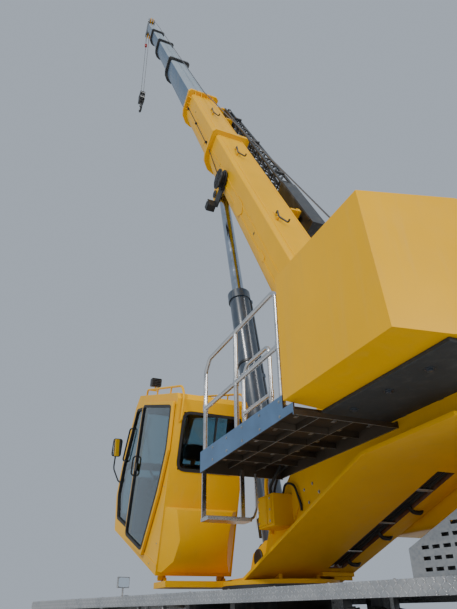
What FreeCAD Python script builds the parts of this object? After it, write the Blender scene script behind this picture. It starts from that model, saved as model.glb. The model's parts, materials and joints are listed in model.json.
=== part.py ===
"""Rough terrain crane: two axles on four steered wheels, four outriggers, and a slewing upper
part with a tilting cab, a counterweight, a side platform and a five section telescopic boom.

Millimetres, +Z up, ground at z = 0. The carrier's front points to +X. The upper part, the cab and
the boom are drawn in frames of their own, which their placements turn to the pose of the photo:
the upper part slewed to the right, the boom raised and run out, the cab tilted back.
The origin is under the middle of the whole crane's bounding box.
"""
import FreeCAD, Part
import math
import os
import re

Vector = FreeCAD.Vector
Rotation = FreeCAD.Rotation
Placement = FreeCAD.Placement
X_AXIS = Vector(1, 0, 0)
Y_AXIS = Vector(0, 1, 0)
Z_AXIS = Vector(0, 0, 1)

SIZES = [
    # alias, value, what it is
    ("slew_angle", 16.4, "upper part turned to the right of the carrier's front, degrees"),
    ("boom_angle", 62.3, "boom above level, degrees"),
    ("cab_angle", 18.0, "cab tilted back, degrees"),
    ("wheelbase", 3800, "between the axles"),
    ("track", 2000, "between the wheels' middles"),
    ("tyre_radius", 740, "outside of the tyre"),
    ("tyre_width", 500, "widest part of the tyre"),
    ("rim_radius", 317, "bead seat"),
    ("rim_width", 470, "between the rim's outer edges"),
    ("rim_wall", 16, "rolled steel of the rim"),
    ("kingpin_side", 800, "kingpin from the middle line"),
    ("spindle_radius", 100, "wheel spindle"),
    ("axle_radius", 120, "axle tube"),
    ("diff_radius", 235, "bowl in the middle of the axle"),
    ("frame_length", 7100, "carrier frame"),
    ("rail_side", 400, "outer face of a frame rail"),
    ("rail_thick", 60, "frame rail"),
    ("rail_bottom", 1050, "underside of the rails"),
    ("rail_top", 1450, "top of the rails"),
    ("deck_top", 1620, "deck surface"),
    ("deck_thick", 20, "deck plate"),
    ("deck_lip", 100, "folded edge of the deck"),
    ("guard_inset", 110, "slotted guard's rear end, from the frame's end"),
    ("guard_length", 1000, "slotted guard, along the deck"),
    ("guard_low", 168, "guard's height at its front end"),
    ("guard_high", 450, "guard's height at its rear"),
    ("guard_depth", 470, "guard, across the deck"),
    ("guard_thick", 8, "guard plate"),
    ("silencer_radius", 100, "silencer"),
    ("deck_width", 2520, "over the deck's edges"),
    ("ring_radius", 620, "slew ring, outside"),
    ("ring_hole", 490, "slew ring, inside"),
    ("ring_joint", 1580, "level where the two rings meet"),
    ("upper_floor", 1690, "underside of the upper frame"),
    ("moving_gap", 6, "between pieces that pass each other"),
    ("pad_gap", 0.5, "between a piece and the pad, pin or bush that carries it"),
    ("pivot_x", -1850, "boom pivot, from the slew axis"),
    ("pivot_z", 3160, "boom pivot, above ground"),
    ("pivot_pin", 80, "radius of the boom's pivot pin"),
    ("base_length", 10500, "pivot to the front of the boom's base"),
    ("base_width", 600, "boom base section"),
    ("base_height", 704, "boom base section"),
    ("boom_wall", 10, "boom plate"),
    ("section_step", 35, "each section inside the one before, on every side"),
    ("collar_step", 170, "front edge of a section beyond the one before, retracted"),
    ("collar_proud", 85, "bands round the boom, beyond its plates"),
    ("collar_length", 130, "bands round the boom, along it"),
    ("run_out_1", 4830, "section 1 run out of the base"),
    ("run_out_2", 4130, "section 2 run out of section 1"),
    ("run_out_3", 3130, "section 3 run out of section 2"),
    ("run_out_4", 2980, "section 4 run out of section 3"),
    ("lift_pin_s", 6080, "lift pin along the boom"),
    ("lift_pin_drop", 532, "lift pin below the boom's middle line"),
    ("lift_pin", 55, "radius of the rod eye's pin"),
    ("lift_foot_x", 0, "foot of the lift cylinder"),
    ("lift_foot_z", 1950, "foot of the lift cylinder"),
    ("barrel_radius", 155, "lift cylinder barrel"),
    ("barrel_length", 3930, "foot pin to the end of the barrel"),
    ("rod_length", 3850, "eye pin to the piston's back"),
    ("rod_radius", 93, "lift cylinder rod"),
    ("side_plate_in", 330, "inner face of the upper frame's side plates"),
    ("side_plate_thick", 40, "upper frame side plate"),
    ("upper_half_width", 1270, "widest part of the upper part, from its middle"),
    ("weight_front", -2520, "counterweight"),
    ("weight_rear", -3750, "counterweight"),
    ("weight_bottom", 2695, "counterweight"),
    ("weight_top", 3740, "counterweight"),
    ("belly_left", 550, "left edge of the sloping plate under the upper frame"),
    ("belly_right", 620, "its right edge"),
    ("slot_inner", 250, "inner side of its slot, right of the middle"),
    ("slot_outer", 430, "outer side of its slot"),
    ("slot_depth", 80, "slot, measured upwards"),
    ("platform_front", -850, "side platform"),
    ("platform_top", 2712, "side platform's floor"),
    ("platform_depth", 195, "side platform's edge board, from top to bottom"),
    ("toe_board", 73, "edge board above the floor"),
    ("rail_height", 990, "handrail above the platform"),
    ("tube_radius", 21, "handrail tube"),
    ("cab_x", 520, "cab frame's foot, behind and below"),
    ("cab_z", 1805, "cab frame's foot, behind and below"),
    ("cab_left", 1235, "cab's left wall, outside"),
    ("cab_right", 345, "cab's right wall, outside"),
    ("cab_height", 1950, "cab floor to roof"),
    ("cab_length", 2580, "cab, at its foremost"),
    ("cab_wall", 40, "cab panels"),
    ("door_thick", 34, "sliding door"),
    ("box_half_length", 1090, "outrigger box across the carrier"),
    ("outrigger_inset", 300, "middle of an outrigger box from the frame's end"),
    ("beam_height", 340, "outrigger beam"),
    ("beam_width", 250, "outrigger beam"),
    ("beam_gap", 10, "beam inside its box"),
    ("jack_radius", 50, "outrigger jack ram"),
    ("jack_out", 82, "jack's middle beyond the end of the outrigger box"),
    ("float_radius", 200, "outrigger foot"),
    ("float_bottom", 400, "underside of a stowed outrigger foot"),
    ("falls_length", 4250, "rope from the boom head down to the hook block"),
    ("rope_radius", 11, "hoist rope"),
    ("lug_bore", 26, "radius of a tie-down lug's hole"),
]

doc = FreeCAD.newDocument("RoughTerrainCrane")
sheet = doc.addObject("Spreadsheet::Sheet", "Sizes")
for row, (alias, value, note) in enumerate(SIZES, start=1):
    sheet.set("A%d" % row, alias)
    sheet.set("B%d" % row, str(value))
    sheet.set("C%d" % row, note)
    sheet.setAlias("B%d" % row, alias)
doc.recompute()
S = {alias: float(sheet.get(alias)) for alias, value, note in SIZES}
NODES = []

GAP = S["moving_gap"]
FIT = S["pad_gap"]
SLEW = math.radians(S["slew_angle"])
LUFF = math.radians(S["boom_angle"])
CARRIER = Placement()
UPPER = Placement(Vector(0, 0, 0), Rotation(Z_AXIS, -S["slew_angle"]))
BOOM = UPPER * Placement(Vector(S["pivot_x"], 0, S["pivot_z"]), Rotation(Y_AXIS, -S["boom_angle"]))
CAB = UPPER * Placement(Vector(S["cab_x"], 0, S["cab_z"]), Rotation(Y_AXIS, -S["cab_angle"]))


def along(start, direction, distance):
    """The placement start moved by distance along one of its own axes."""
    return start * Placement(direction * distance, Rotation())


def bound(text):
    """An expression over the sheet, from one that names its cells alone."""
    names = "|".join(sorted((alias for alias, value, note in SIZES), key=len, reverse=True))
    return re.sub(r"\b(%s)\b" % names, r"Sizes.\1", text)


def primitive(kind, name, sizes, at, turn=None):
    """A Part primitive whose sizes and place follow the sheet."""
    thing = doc.addObject(kind, name)
    for size, text in sizes.items():
        thing.setExpression(size, bound(text))
    if turn:
        thing.Placement = Placement(Vector(), Rotation(*turn))
    for letter, text in zip("xyz", at):
        thing.setExpression("Placement.Base." + letter, bound(text))
    return thing


def bound_box(name, length, width, height, at):
    return primitive("Part::Box", name, {"Length": length, "Width": width, "Height": height}, at)


def bound_cylinder(name, radius, length, at, axis="z"):
    turns = {"z": None, "y": (X_AXIS, -90), "x": (Y_AXIS, 90)}
    return primitive("Part::Cylinder", name, {"Radius": radius, "Height": length}, at, turns[axis])


def fused(name, pieces):
    thing = doc.addObject("Part::MultiFuse", name)
    thing.Shapes = pieces
    return thing


def cut_away(name, base, tool):
    thing = doc.addObject("Part::Cut", name)
    thing.Base = base
    thing.Tool = tool
    return thing


def node(thing, label, where):
    """Keep a finished document object as a sub-part, placed in one of the crane's frames."""
    thing.Label = label
    thing.Placement = where * thing.Placement
    NODES.append(thing)


def shape_node(label, shape, where):
    """Keep a shape that no primitive gives as a sub-part."""
    thing = doc.addObject("Part::Feature", label)
    thing.Shape = shape
    node(thing, label, where)


def box(x0, x1, y0, y1, z0, z1):
    return Part.makeBox(x1 - x0, y1 - y0, z1 - z0, Vector(x0, y0, z0))


def cylinder(radius, start, end):
    start, end = Vector(*start), Vector(*end)
    return Part.makeCylinder(radius, (end - start).Length, start, end - start)


def flat_sided_bar(radius, sides, start, end):
    """A straight bar with a many-sided section, from start to end."""
    start, end = Vector(*start), Vector(*end)
    points = [Vector(radius * math.cos(2 * math.pi * (k + 0.5) / sides),
                     radius * math.sin(2 * math.pi * (k + 0.5) / sides), 0) for k in range(sides)]
    bar = Part.Face(Part.makePolygon(points + points[:1])).extrude(Z_AXIS * (end - start).Length)
    bar.Placement = Placement(start, Rotation(Z_AXIS, end - start))
    return bar


def side_plate(points, y0, y1):
    """A plate between y0 and y1 with an outline of (x, z) points."""
    wire = Part.makePolygon([Vector(x, y0, z) for x, z in points + points[:1]])
    return Part.Face(wire).extrude(Vector(0, y1 - y0, 0))


def frame_end():
    return S["frame_length"] / 2


def cross_plate(points, x0, x1):
    """A plate between x0 and x1 with an outline of (y, z) points."""
    wire = Part.makePolygon([Vector(x0, y, z) for y, z in points + points[:1]])
    return Part.Face(wire).extrude(Vector(x1 - x0, 0, 0))


def bent_tube(radius, points, bend=None):
    """A round tube along straight runs, with a tangent arc in each corner."""
    points = [Vector(*point) for point in points]
    runs = [(b - a).Length for a, b in zip(points, points[1:])]
    pieces, start = [], points[0]
    for index in range(1, len(points) - 1):
        corner = points[index]
        back = (points[index - 1] - corner).normalize()
        ahead = (points[index + 1] - corner).normalize()
        half_turn = (math.pi - back.getAngle(ahead)) / 2
        reach = min((bend or 3.5 * radius) * math.tan(half_turn), 0.45 * min(runs[index - 1:index + 1]))
        arc_radius = reach / math.tan(half_turn)
        centre = corner + (back + ahead).normalize() * (arc_radius / math.cos(half_turn))
        first, last = corner + back * reach, corner + ahead * reach
        disc = Part.Face(Part.Wire(Part.makeCircle(radius, first, back)))
        axis = (first - centre).cross(last - centre)
        pieces.append(cylinder(radius, start, first))
        pieces.append(disc.revolve(centre, axis, math.degrees(2 * half_turn)))
        start = last
    pieces.append(cylinder(radius, start, points[-1]))
    return join(pieces)


def join(shapes):
    first, rest = shapes[0], shapes[1:]
    return first.fuse(rest).removeSplitter() if rest else first


def group(shapes):
    """Like pieces that don't touch, as one shape."""
    return Part.makeCompound(shapes)


def mirrored(shape):
    """The same piece on the other side of the middle line."""
    return shape.mirror(Vector(0, 0, 0), Y_AXIS)


def both_sides(shape):
    return [shape, mirrored(shape)]


CORNERS = [
    # name, side of the carrier along X, side along Y
    ("front_left", 1, 1),
    ("front_right", 1, -1),
    ("rear_left", -1, 1),
    ("rear_right", -1, -1),
]


def wheel_frame(along_x, along_y):
    """At the wheel's middle, with +Y outwards."""
    turn = Rotation(Z_AXIS, 0 if along_y > 0 else 180)
    return Placement(Vector(along_x * S["wheelbase"] / 2, along_y * S["track"] / 2,
                            S["tyre_radius"]), turn)


def tyre():
    """A tyre of flat facets with two rows of slanted lugs, turned about Y."""
    half, outer, bead = S["tyre_width"] / 2, S["tyre_radius"], S["rim_radius"]
    tread, carcass = half * 0.84, outer * 0.955
    seat = S["rim_width"] / 2 - S["rim_wall"]
    facets, count = 30, 15
    bore = bead / math.cos(math.pi / facets)
    side = [(seat, bore), (seat, bead * 1.10), (half, (carcass + bead) / 2), (tread, carcass)]
    profile = side + [(-y, r) for y, r in reversed(side)]
    rows = []
    for index in range(facets):
        angle = 2 * math.pi * (index + 0.5) / facets
        rows.append([Vector(r * math.sin(angle), y, r * math.cos(angle)) for y, r in profile])
    faces = []
    for row, after in zip(rows, rows[1:] + rows[:1]):
        for k in range(len(profile)):
            far = (k + 1) % len(profile)
            corners = [row[k], row[far], after[far], after[k], row[k]]
            faces.append(Part.Face(Part.makePolygon(corners)))
    ring = Part.Solid(Part.Shell(faces))
    if ring.Volume < 0:
        ring.reverse()
    lug = box(-outer * 0.055, outer * 0.055, tread * 0.08, tread * 0.97,
              carcass * 0.985, outer * 0.998)
    lug.rotate(Vector(0, tread * 0.5, outer), Z_AXIS, 24)
    lugs = []
    for index in range(count):
        for side, shift in ((1, 0), (-1, 0.5)):
            piece = lug.copy() if side > 0 else mirrored(lug)
            piece.rotate(Vector(), Y_AXIS, (index + shift) * 360 / count)
            lugs.append(piece)
    return join([ring] + lugs)


def rims():
    """Steel wheel: a barrel with two flanges, a disc and a hub cap."""
    for name, along_x, along_y in CORNERS:
        barrel = bound_cylinder(name + "_barrel", "rim_radius", "rim_width",
                                ("0", "-rim_width / 2", "0"), "y")
        flange_out = bound_cylinder(name + "_flange_out", "rim_radius * 1.09", "rim_wall",
                                    ("0", "rim_width / 2 - rim_wall", "0"), "y")
        flange_in = bound_cylinder(name + "_flange_in", "rim_radius * 1.09", "rim_wall",
                                   ("0", "-rim_width / 2", "0"), "y")
        outside = fused(name + "_outside", [barrel, flange_out, flange_in])
        well_out = bound_cylinder(name + "_well_out", "rim_radius - rim_wall", "rim_width / 2",
                                  ("0", "rim_wall * 2", "0"), "y")
        well_in = bound_cylinder(name + "_well_in", "rim_radius - rim_wall", "rim_width / 2 + 1",
                                 ("0", "-rim_width / 2 - 1", "0"), "y")
        wells = fused(name + "_wells", [well_out, well_in])
        shell = cut_away(name + "_shell", outside, wells)
        hub = bound_cylinder(name + "_hub", "spindle_radius * 1.5", "rim_width * 0.42",
                             ("0", "-rim_width * 0.14", "0"), "y")
        body = fused(name + "_body", [shell, hub])
        bore = bound_cylinder(name + "_bore", "spindle_radius + pad_gap", "rim_width * 0.36",
                              ("0", "-rim_width * 0.15", "0"), "y")
        rim = cut_away(name + "_rim", body, bore)
        node(rim, "rim_" + name, wheel_frame(along_x, along_y))


def knuckles():
    """Steering knuckle: a post between the axle's forks, pins up and down, and the spindle."""
    for name, along_x, along_y in CORNERS:
        side = "(kingpin_side - track / 2)"
        post = bound_cylinder(name + "_post", "spindle_radius * 0.9", "340", ("0", side, "-170"))
        pin = bound_cylinder(name + "_pin", "30", "500", ("0", side, "-250"))
        spindle = bound_cylinder(name + "_spindle", "spindle_radius",
                                 "track / 2 - kingpin_side + rim_width * 0.2",
                                 ("0", side, "0"), "y")
        collar = bound_cylinder(name + "_collar", "spindle_radius * 1.5", "24",
                                ("0", side + " + 85", "0"), "y")
        arm = bound_box(name + "_arm", "260", "50", "60",
                        ("-260", side + " - 25", "-30"))
        whole = fused(name + "_knuckle", [post, pin, spindle, collar, arm])
        node(whole, "knuckle_" + name, wheel_frame(along_x, along_y))


def axle(steers_back):
    """Axle tube with its bowl, the forks that hold the knuckles and the brackets to the rails."""
    reach, height = S["kingpin_side"], S["tyre_radius"]
    tube = cylinder(S["axle_radius"], (0, -reach * 0.82, height), (0, reach * 0.82, height))
    bowl = Part.makeSphere(S["diff_radius"], Vector(0, 0, height))
    nose = cylinder(S["axle_radius"], (0, 0, height), (-steers_back * 330, 0, height))
    pieces = [tube, bowl, nose]
    for side in (-1, 1):
        head = box(-90, 90, -60, 60, -255, 255)
        head.translate(Vector(0, side * reach * 0.80, height))
        pieces.append(head)
        for up in (-1, 1):
            fork = box(-65, 65, 0, reach * 0.20 + 75, 182, 255)
            fork = fork.cut(cylinder(30 + FIT, (0, reach * 0.20, 150), (0, reach * 0.20, 300)))
            if up < 0:
                fork = fork.mirror(Vector(), Z_AXIS)
            if side < 0:
                fork = mirrored(fork)
            fork.translate(Vector(0, side * reach * 0.80, height))
            pieces.append(fork)
        rail = S["rail_side"] - S["rail_thick"]
        bracket = box(-170, 170, rail, S["rail_side"], height + 60, S["rail_bottom"])
        pieces.append(bracket if side > 0 else mirrored(bracket))
    return join(pieces)


def carrier_frame():
    """Two rails, cross members, the drum under the slew ring and the outrigger boxes."""
    half, side, thick = S["frame_length"] / 2, S["rail_side"], S["rail_thick"]
    low, high = S["rail_bottom"], S["rail_top"]
    pieces = both_sides(box(-half, half, side - thick, side, low, high))
    for place in (-half, -half * 0.83, -half * 0.31, half * 0.31, half * 0.62, half - 40):
        pieces.append(box(place, place + 40, -side, side, low, high))
    drum = cylinder(S["ring_radius"] + 40, (0, 0, low), (0, 0, high))
    drum = drum.cut(cylinder(S["ring_hole"] - 20, (0, 0, low - 1), (0, 0, high + 1)))
    pieces.append(drum)
    for end in (-1, 1):
        middle = end * (frame_end() - S["outrigger_inset"])
        width = S["beam_width"] + 2 * S["beam_gap"]
        bottom, wall = beam_bottom() - S["beam_gap"], 15
        outer = box(middle - width - 2 * wall, middle + width + 2 * wall,
                    -S["box_half_length"], S["box_half_length"],
                    bottom - wall, bottom + S["beam_height"] + 2 * S["beam_gap"] + wall)
        for shift in (-1, 1):
            centre = middle + shift * (width / 2 + wall / 2)
            outer = outer.cut(box(centre - width / 2, centre + width / 2, -2000, 2000,
                                  bottom, bottom + S["beam_height"] + 2 * S["beam_gap"]))
            for y in (-S["box_half_length"], S["box_half_length"] - 80):
                pieces.append(box(centre - width / 2, centre + width / 2, y, y + 80,
                                  bottom, bottom + S["beam_gap"] - FIT))
        pieces.append(outer)
    return join(pieces)


def beam_middle(end, side):
    """Middle of an outrigger beam along X: the left and the right one lie side by side."""
    width, wall = S["beam_width"] + 2 * S["beam_gap"], 15
    return end * (frame_end() - S["outrigger_inset"] - side * (width / 2 + wall / 2))


def beam_bottom():
    return S["rail_bottom"] - 15 - S["beam_gap"] - S["beam_height"]


def outrigger_beam():
    """Beam that slides out to +Y, with the jack's housing at its end."""
    half, top = S["beam_width"] / 2, beam_bottom() + S["beam_height"]
    outer_end = S["box_half_length"]
    place = outer_end + S["jack_out"]
    beam = box(-half, half, -outer_end + 40, place, beam_bottom(), top)
    beam = beam.cut(box(-half + 14, half - 14, -outer_end + 39, outer_end,
                        beam_bottom() + 14, top - 14))
    whole = beam.fuse(cylinder(S["jack_radius"] + 25, (0, place, 560), (0, place, 1480)))
    whole = whole.cut(cylinder(S["jack_radius"] + FIT, (0, place, 550), (0, place, 640)))
    return whole.cut(cylinder(S["jack_radius"] + GAP, (0, place, 639), (0, place, 1440)))


def outrigger_jack():
    """Ram and round foot, cut flat at the crane's full width."""
    place, low = S["box_half_length"] + S["jack_out"], S["float_bottom"]
    ram = cylinder(S["jack_radius"], (0, place, low + 30), (0, place, 1420))
    foot = Part.makeCone(S["float_radius"] - 20, S["jack_radius"] * 1.4, 80,
                         Vector(0, place, low + 30))
    plate = cylinder(S["float_radius"], (0, place, low), (0, place, low + 30))
    whole = join([ram, foot, plate])
    return whole.cut(box(-500, 500, place + 103, place + 500, 0, 2000))


def outriggers():
    for name, end, side in CORNERS:
        turn = Rotation(Z_AXIS, 0 if side > 0 else 180)
        where = Placement(Vector(beam_middle(end, side), 0, 0), turn)
        shape_node("outrigger_beam_" + name, outrigger_beam(), where)
        shape_node("outrigger_jack_" + name, outrigger_jack(), where)


def deck():
    """Deck plate with folded edges, open around the slew ring and over the engine."""
    half, side = S["frame_length"] / 2, S["deck_width"] / 2
    top, thick, lip = S["deck_top"], S["deck_thick"], S["deck_lip"]
    plate = box(-half, half, -side, side, top - lip, top)
    plate = plate.cut(box(-half + 12, half - 12, -side + 12, side - 12, 0, top - thick))
    plate = plate.cut(cylinder(S["ring_radius"] + 80, (0, 0, 0), (0, 0, 2 * top)))
    plate = plate.cut(box(-half + 150, -half + 1400, -380, 380, 0, 2 * top))
    posts = []
    for place in (-half * 0.9, -half * 0.30, half * 0.30, half * 0.9):
        for y in (-S["rail_side"] + 30, S["rail_side"] - 30):
            posts.append(box(place - 40, place + 40, y - 30, y + 30, S["rail_top"], top - thick))
    return join([plate, mirror_stand()] + posts)


def engine_hood():
    """Low cover over the engine, a shell open below."""
    half, top = S["frame_length"] / 2, S["deck_top"]
    outer = box(-half + 100, -half + 1450, -430, 430, top, top + 100)
    return outer.cut(box(-half + 120, -half + 1430, -410, 410, top - 1, top + 80))


def lug(length, height, thick, radius):
    """An upright plate with a hole, rounded at its top, along X."""
    plate = box(-length / 2, length / 2, -thick / 2, thick / 2, 0, height)
    crown = cylinder(length / 2, (0, -thick / 2, height), (0, thick / 2, height))
    return plate.fuse(crown).cut(cylinder(radius, (0, -thick, height), (0, thick, height)))


def tow_lugs():
    """Four lugs on the frame's ends, one by each rail."""
    pieces = []
    for end in (-1, 1):
        for side in (-1, 1):
            piece = lug(110, 60, 40, S["lug_bore"])
            piece.rotate(Vector(), Y_AXIS, 90 * end)
            piece.translate(Vector(end * S["frame_length"] / 2,
                                   side * (S["rail_side"] - S["rail_thick"] / 2), 1280))
            pieces.append(piece)
    return group(pieces)


def tank():
    """Left tank under the deck, behind the steps, on two straps."""
    y0, y1 = S["ring_radius"] + 60, S["deck_width"] / 2 - 90
    shape = box(-850, 300, y0, y1, 640, 1440)
    edges = [edge for edge in shape.Edges if abs(edge.tangentAt(0).x) > 0.9]
    shape = shape.makeFillet(60, edges)
    straps = [box(x - 30, x + 30, y0 - 4, y1 + 4, 1380, S["deck_top"] - S["deck_thick"])
              for x in (-600, 50)]
    return join([shape] + straps)


def exhaust_guard():
    """Slotted guard on the deck's left edge, rising from its front end to the silencer."""
    top, thick, outside = S["deck_top"], S["guard_thick"], S["deck_width"] / 2 - 16
    rear = S["guard_inset"] - frame_end()
    front = rear + S["guard_length"]
    low, high, depth = top + S["guard_low"], top + S["guard_high"], S["guard_depth"]
    rise = 0.5
    step = front - (high - low) / rise
    wall = side_plate([(rear, top), (front, top), (front, low), (step, high), (rear, high)],
                      outside - thick, outside)
    pitch, row_pitch, length, tall, margin = 75, 62, 50, 22, 30
    slots = []
    for row in range(int((high - top - margin) / row_pitch)):
        height = top + margin + row * row_pitch
        end = min(front, front - (height + tall - low) / rise) - margin
        for column in range(int((end - rear - margin) / pitch)):
            x = rear + margin + column * pitch
            slots.append(box(x, x + length, outside - 60, outside + 20, height, height + tall))
    left = wall.cut(slots)
    right = wall.copy()
    right.translate(Vector(0, -depth, 0))
    inner = outside - depth - thick
    back = box(rear, rear + thick, inner, outside, top, high)
    lid = box(rear, step, inner, outside, high - thick, high)
    return join([left, right, back, lid])


def silencer():
    """Silencer across the deck inside the guard, with its feet and tail pipe."""
    top, outside = S["deck_top"], S["deck_width"] / 2 - 16
    radius = S["silencer_radius"]
    x = S["guard_inset"] - frame_end() + radius + 40
    y0, y1 = outside - S["guard_depth"] + 30, outside - 40
    centre = top + radius + 40
    body = cylinder(radius, (x, y0, centre), (x, y1, centre))
    feet = [box(x - radius + 20, x + radius - 20, y, y + 25, top, centre)
            for y in (y0 + 60, y1 - 85)]
    pipe = bent_tube(45, [(x, y0 + 120, centre), (x, y0 + 120, top + S["guard_high"] + 60),
                          (x - 80, y0 + 120, top + S["guard_high"] + 130)])
    return join([body, pipe] + feet)


def carrier_steps():
    """Left ladder below the deck's edge, in front of the tank."""
    side, top = S["deck_width"] / 2, S["deck_top"] - S["deck_thick"]
    place, half = 600, 220
    pieces = [box(place - half, place + half, side - 200, side - 20, level, level + 30)
              for level in (560, 900, 1230)]
    for edge in (-half - 15, half):
        pieces.append(box(place + edge, place + edge + 15, side - 70, side - 20, 560, top))
    return join(pieces)


def carrier_lamps():
    pieces = []
    half = S["frame_length"] / 2
    for side in (-1, 1):
        for x, size in ((half, 90), (-half - 60, 60)):
            pieces.append(box(x, x + 60, side * 1050 - size, side * 1050 + size, 1530, 1600))
    return group(pieces)


def mirror_stand():
    """Wide angle mirror on a stalk at the front edge of the deck."""
    top = S["deck_top"]
    x, y = frame_end() - 110, -60
    stalk = cylinder(14, (x, y, top), (x, y, top + 200))
    head = box(x - 15, x + 15, y - 100, y + 100, top + 180, top + 330)
    return join([stalk, head])


def upper_frame():
    """Side plates, floor, sloping belly with its slot, and the lugs of the pivot pins."""
    floor, inner, thick = S["upper_floor"], S["side_plate_in"], S["side_plate_thick"]
    px, pz, front = S["pivot_x"], S["pivot_z"], S["weight_front"]
    bottom = S["weight_bottom"] - 30
    outline = [(-150, floor), (-2400, floor + 755), (-3350, floor + 765), (-3350, bottom),
               (front - 20, bottom), (front + 60, bottom + 60), (px - 230, pz - 60),
               (px - 150, pz + 200), (px + 150, pz + 200), (px + 300, pz - 150),
               (-760, 2420), (-520, 2200), (-330, floor + 90), (700, floor + 80), (700, floor)]
    plates = both_sides(side_plate(outline, inner, inner + thick))
    floor_plate = box(-160, 760, -500, 500, floor, floor + 40)
    disc = cylinder(S["ring_radius"], (0, 0, floor), (0, 0, floor + 40))
    hole = cylinder(S["ring_hole"] * 0.5, (0, 0, floor - 1), (0, 0, floor + 60))
    belly = side_plate([(-150, floor), (-2400, floor + 755), (-3350, floor + 765),
                        (-3350, floor + 795), (-2392, floor + 785), (-150, floor + 32)],
                       -S["belly_right"], S["belly_left"])
    rear = box(-3350, -3310, -inner, inner, floor + 780, bottom)
    bridge = box(-1400, -1360, -inner, inner, floor + 440, floor + 700)
    channel, slot = belly_slot()
    pieces = [piece.cut(slot) for piece in plates + [belly, channel]]
    pieces += [floor_plate.cut(hole), disc.cut(hole), rear, bridge]
    pivot = cylinder(S["pivot_pin"], (px, -inner - 80, pz), (px, inner + 80, pz))
    pieces.append(pivot)
    for side in (-1, 1):
        boss = cylinder(150, (px, side * (inner - 20), pz), (px, side * (inner + 70), pz))
        pieces.append(boss)
        lug_plate = side_plate([(-420, floor + 30), (300, floor + 30),
                                (150, S["lift_foot_z"] + 60), (-150, S["lift_foot_z"] + 160),
                                (-420, S["lift_foot_z"] + 160)], 200, 240)
        pieces.append(lug_plate if side > 0 else mirrored(lug_plate))
    return join(pieces)


def belly_slot():
    """Channel over the belly's slot, right of the middle, and the space to cut from it."""
    floor, depth = S["upper_floor"], S["slot_depth"]
    front, rear, slope, wall = -560, -2300, 755 / 2250, 10
    low = [floor - (150 + x) * slope for x in (front, rear)]
    inner, outer = -S["slot_inner"], -S["slot_outer"]
    def along_belly(reach, below, above):
        return [(front + reach, low[0] - reach * slope + below),
                (rear - reach, low[1] + reach * slope + below),
                (rear - reach, low[1] + reach * slope + above),
                (front + reach, low[0] - reach * slope + above)]
    channel = side_plate(along_belly(wall, 10, depth + wall), outer - wall, inner + wall)
    return channel, side_plate(along_belly(0, -50, depth), outer, inner)


def cab_support():
    """Bracket under the cab with its two hinge ears."""
    floor = S["upper_floor"]
    base = box(330, 760, S["side_plate_in"] + S["side_plate_thick"], S["cab_left"] - 60,
               floor, floor + 60)
    ears = []
    for y in (S["cab_right"] + 60, S["cab_left"] - 140):
        ear = box(545, 655, y, y + 30, floor + 60, floor + 98)
        ears.append(ear)
        ears.append(cylinder(13, (600, y, floor + 95), (600, y + 60, floor + 95)))
        ears.append(cylinder(26, (600, y, floor + 95), (600, y + 30, floor + 95)))
    return join([base] + ears)


def counterweight():
    """Block across the tail, its back leaning forward and its corners cut off, with a pocket
    for the winches."""
    front, rear, side = S["weight_front"], S["weight_rear"], S["upper_half_width"]
    low, high, lean, corner = S["weight_bottom"], S["weight_top"], 100, 640
    def outline(height, shift):
        points = [(front, side), (rear + shift, side), (rear + shift - 180, side - corner),
                  (rear + shift - 180, corner - side), (rear + shift, -side), (front, -side)]
        return Part.makePolygon([Vector(x, y, height) for x, y in points + points[:1]])
    block = Part.makeLoft([outline(low, 0), outline(high, lean)], True, True)
    for y in (-1, 1):
        wedge = cross_plate([(y * (side + 1), low - 1), (y * (side + 1), low + 26),
                             (y * (side - 330), low - 1)], rear - 400, front + 10)
        block = block.cut(wedge)
    pocket = box(-3450, front + 1, -420, 420, low + 260, high + 1)
    block = block.cut(pocket)
    low_edges = [edge for edge in block.Edges
                 if edge.BoundBox.ZMax < low + 40 and edge.BoundBox.YLength > 300
                 and edge.BoundBox.XMin > front - 1 and abs(edge.CenterOfMass.y) > side - 350]
    uprights = [edge for edge in block.Edges
                if edge.BoundBox.ZLength > 900 and abs(edge.CenterOfMass.y) > side - 20
                and edge.BoundBox.XMin > front - 1]
    return block.makeFillet(50, low_edges + uprights)


def weight_floor():
    """Dark plate under the counterweight."""
    low = S["weight_bottom"]
    return box(S["weight_rear"] - 60, S["weight_front"] - 20, -955, 955, low - 30, low)


def winches():
    """Two drums one above the other, each between its side plates, on one base."""
    base_z = S["weight_bottom"] + 260
    base = box(-3420, -2560, -400, 400, base_z, base_z + 25)
    pieces = [base]
    for x, z in ((-2810, base_z + 265), (-3190, base_z + 530)):
        pieces.append(cylinder(150, (x, -330, z), (x, 330, z)))
        for y in (-330, 300):
            pieces.append(cylinder(225, (x, y, z), (x, y + 30, z)))
    for y in (-400, 375):
        pieces.append(side_plate([(-2960, base_z), (-2960, base_z + 200), (-2700, base_z + 330),
                                  (-2640, base_z + 330), (-2640, base_z)], y, y + 25))
        pieces.append(side_plate([(-3400, base_z), (-3400, base_z + 560), (-3100, base_z + 560),
                                  (-3000, base_z)], y, y + 25))
    for x, z in ((-2810, base_z + 265), (-3190, base_z + 530)):
        pieces.append(cylinder(60, (x, -400, z), (x, 400, z)))
    return join(pieces)


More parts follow.
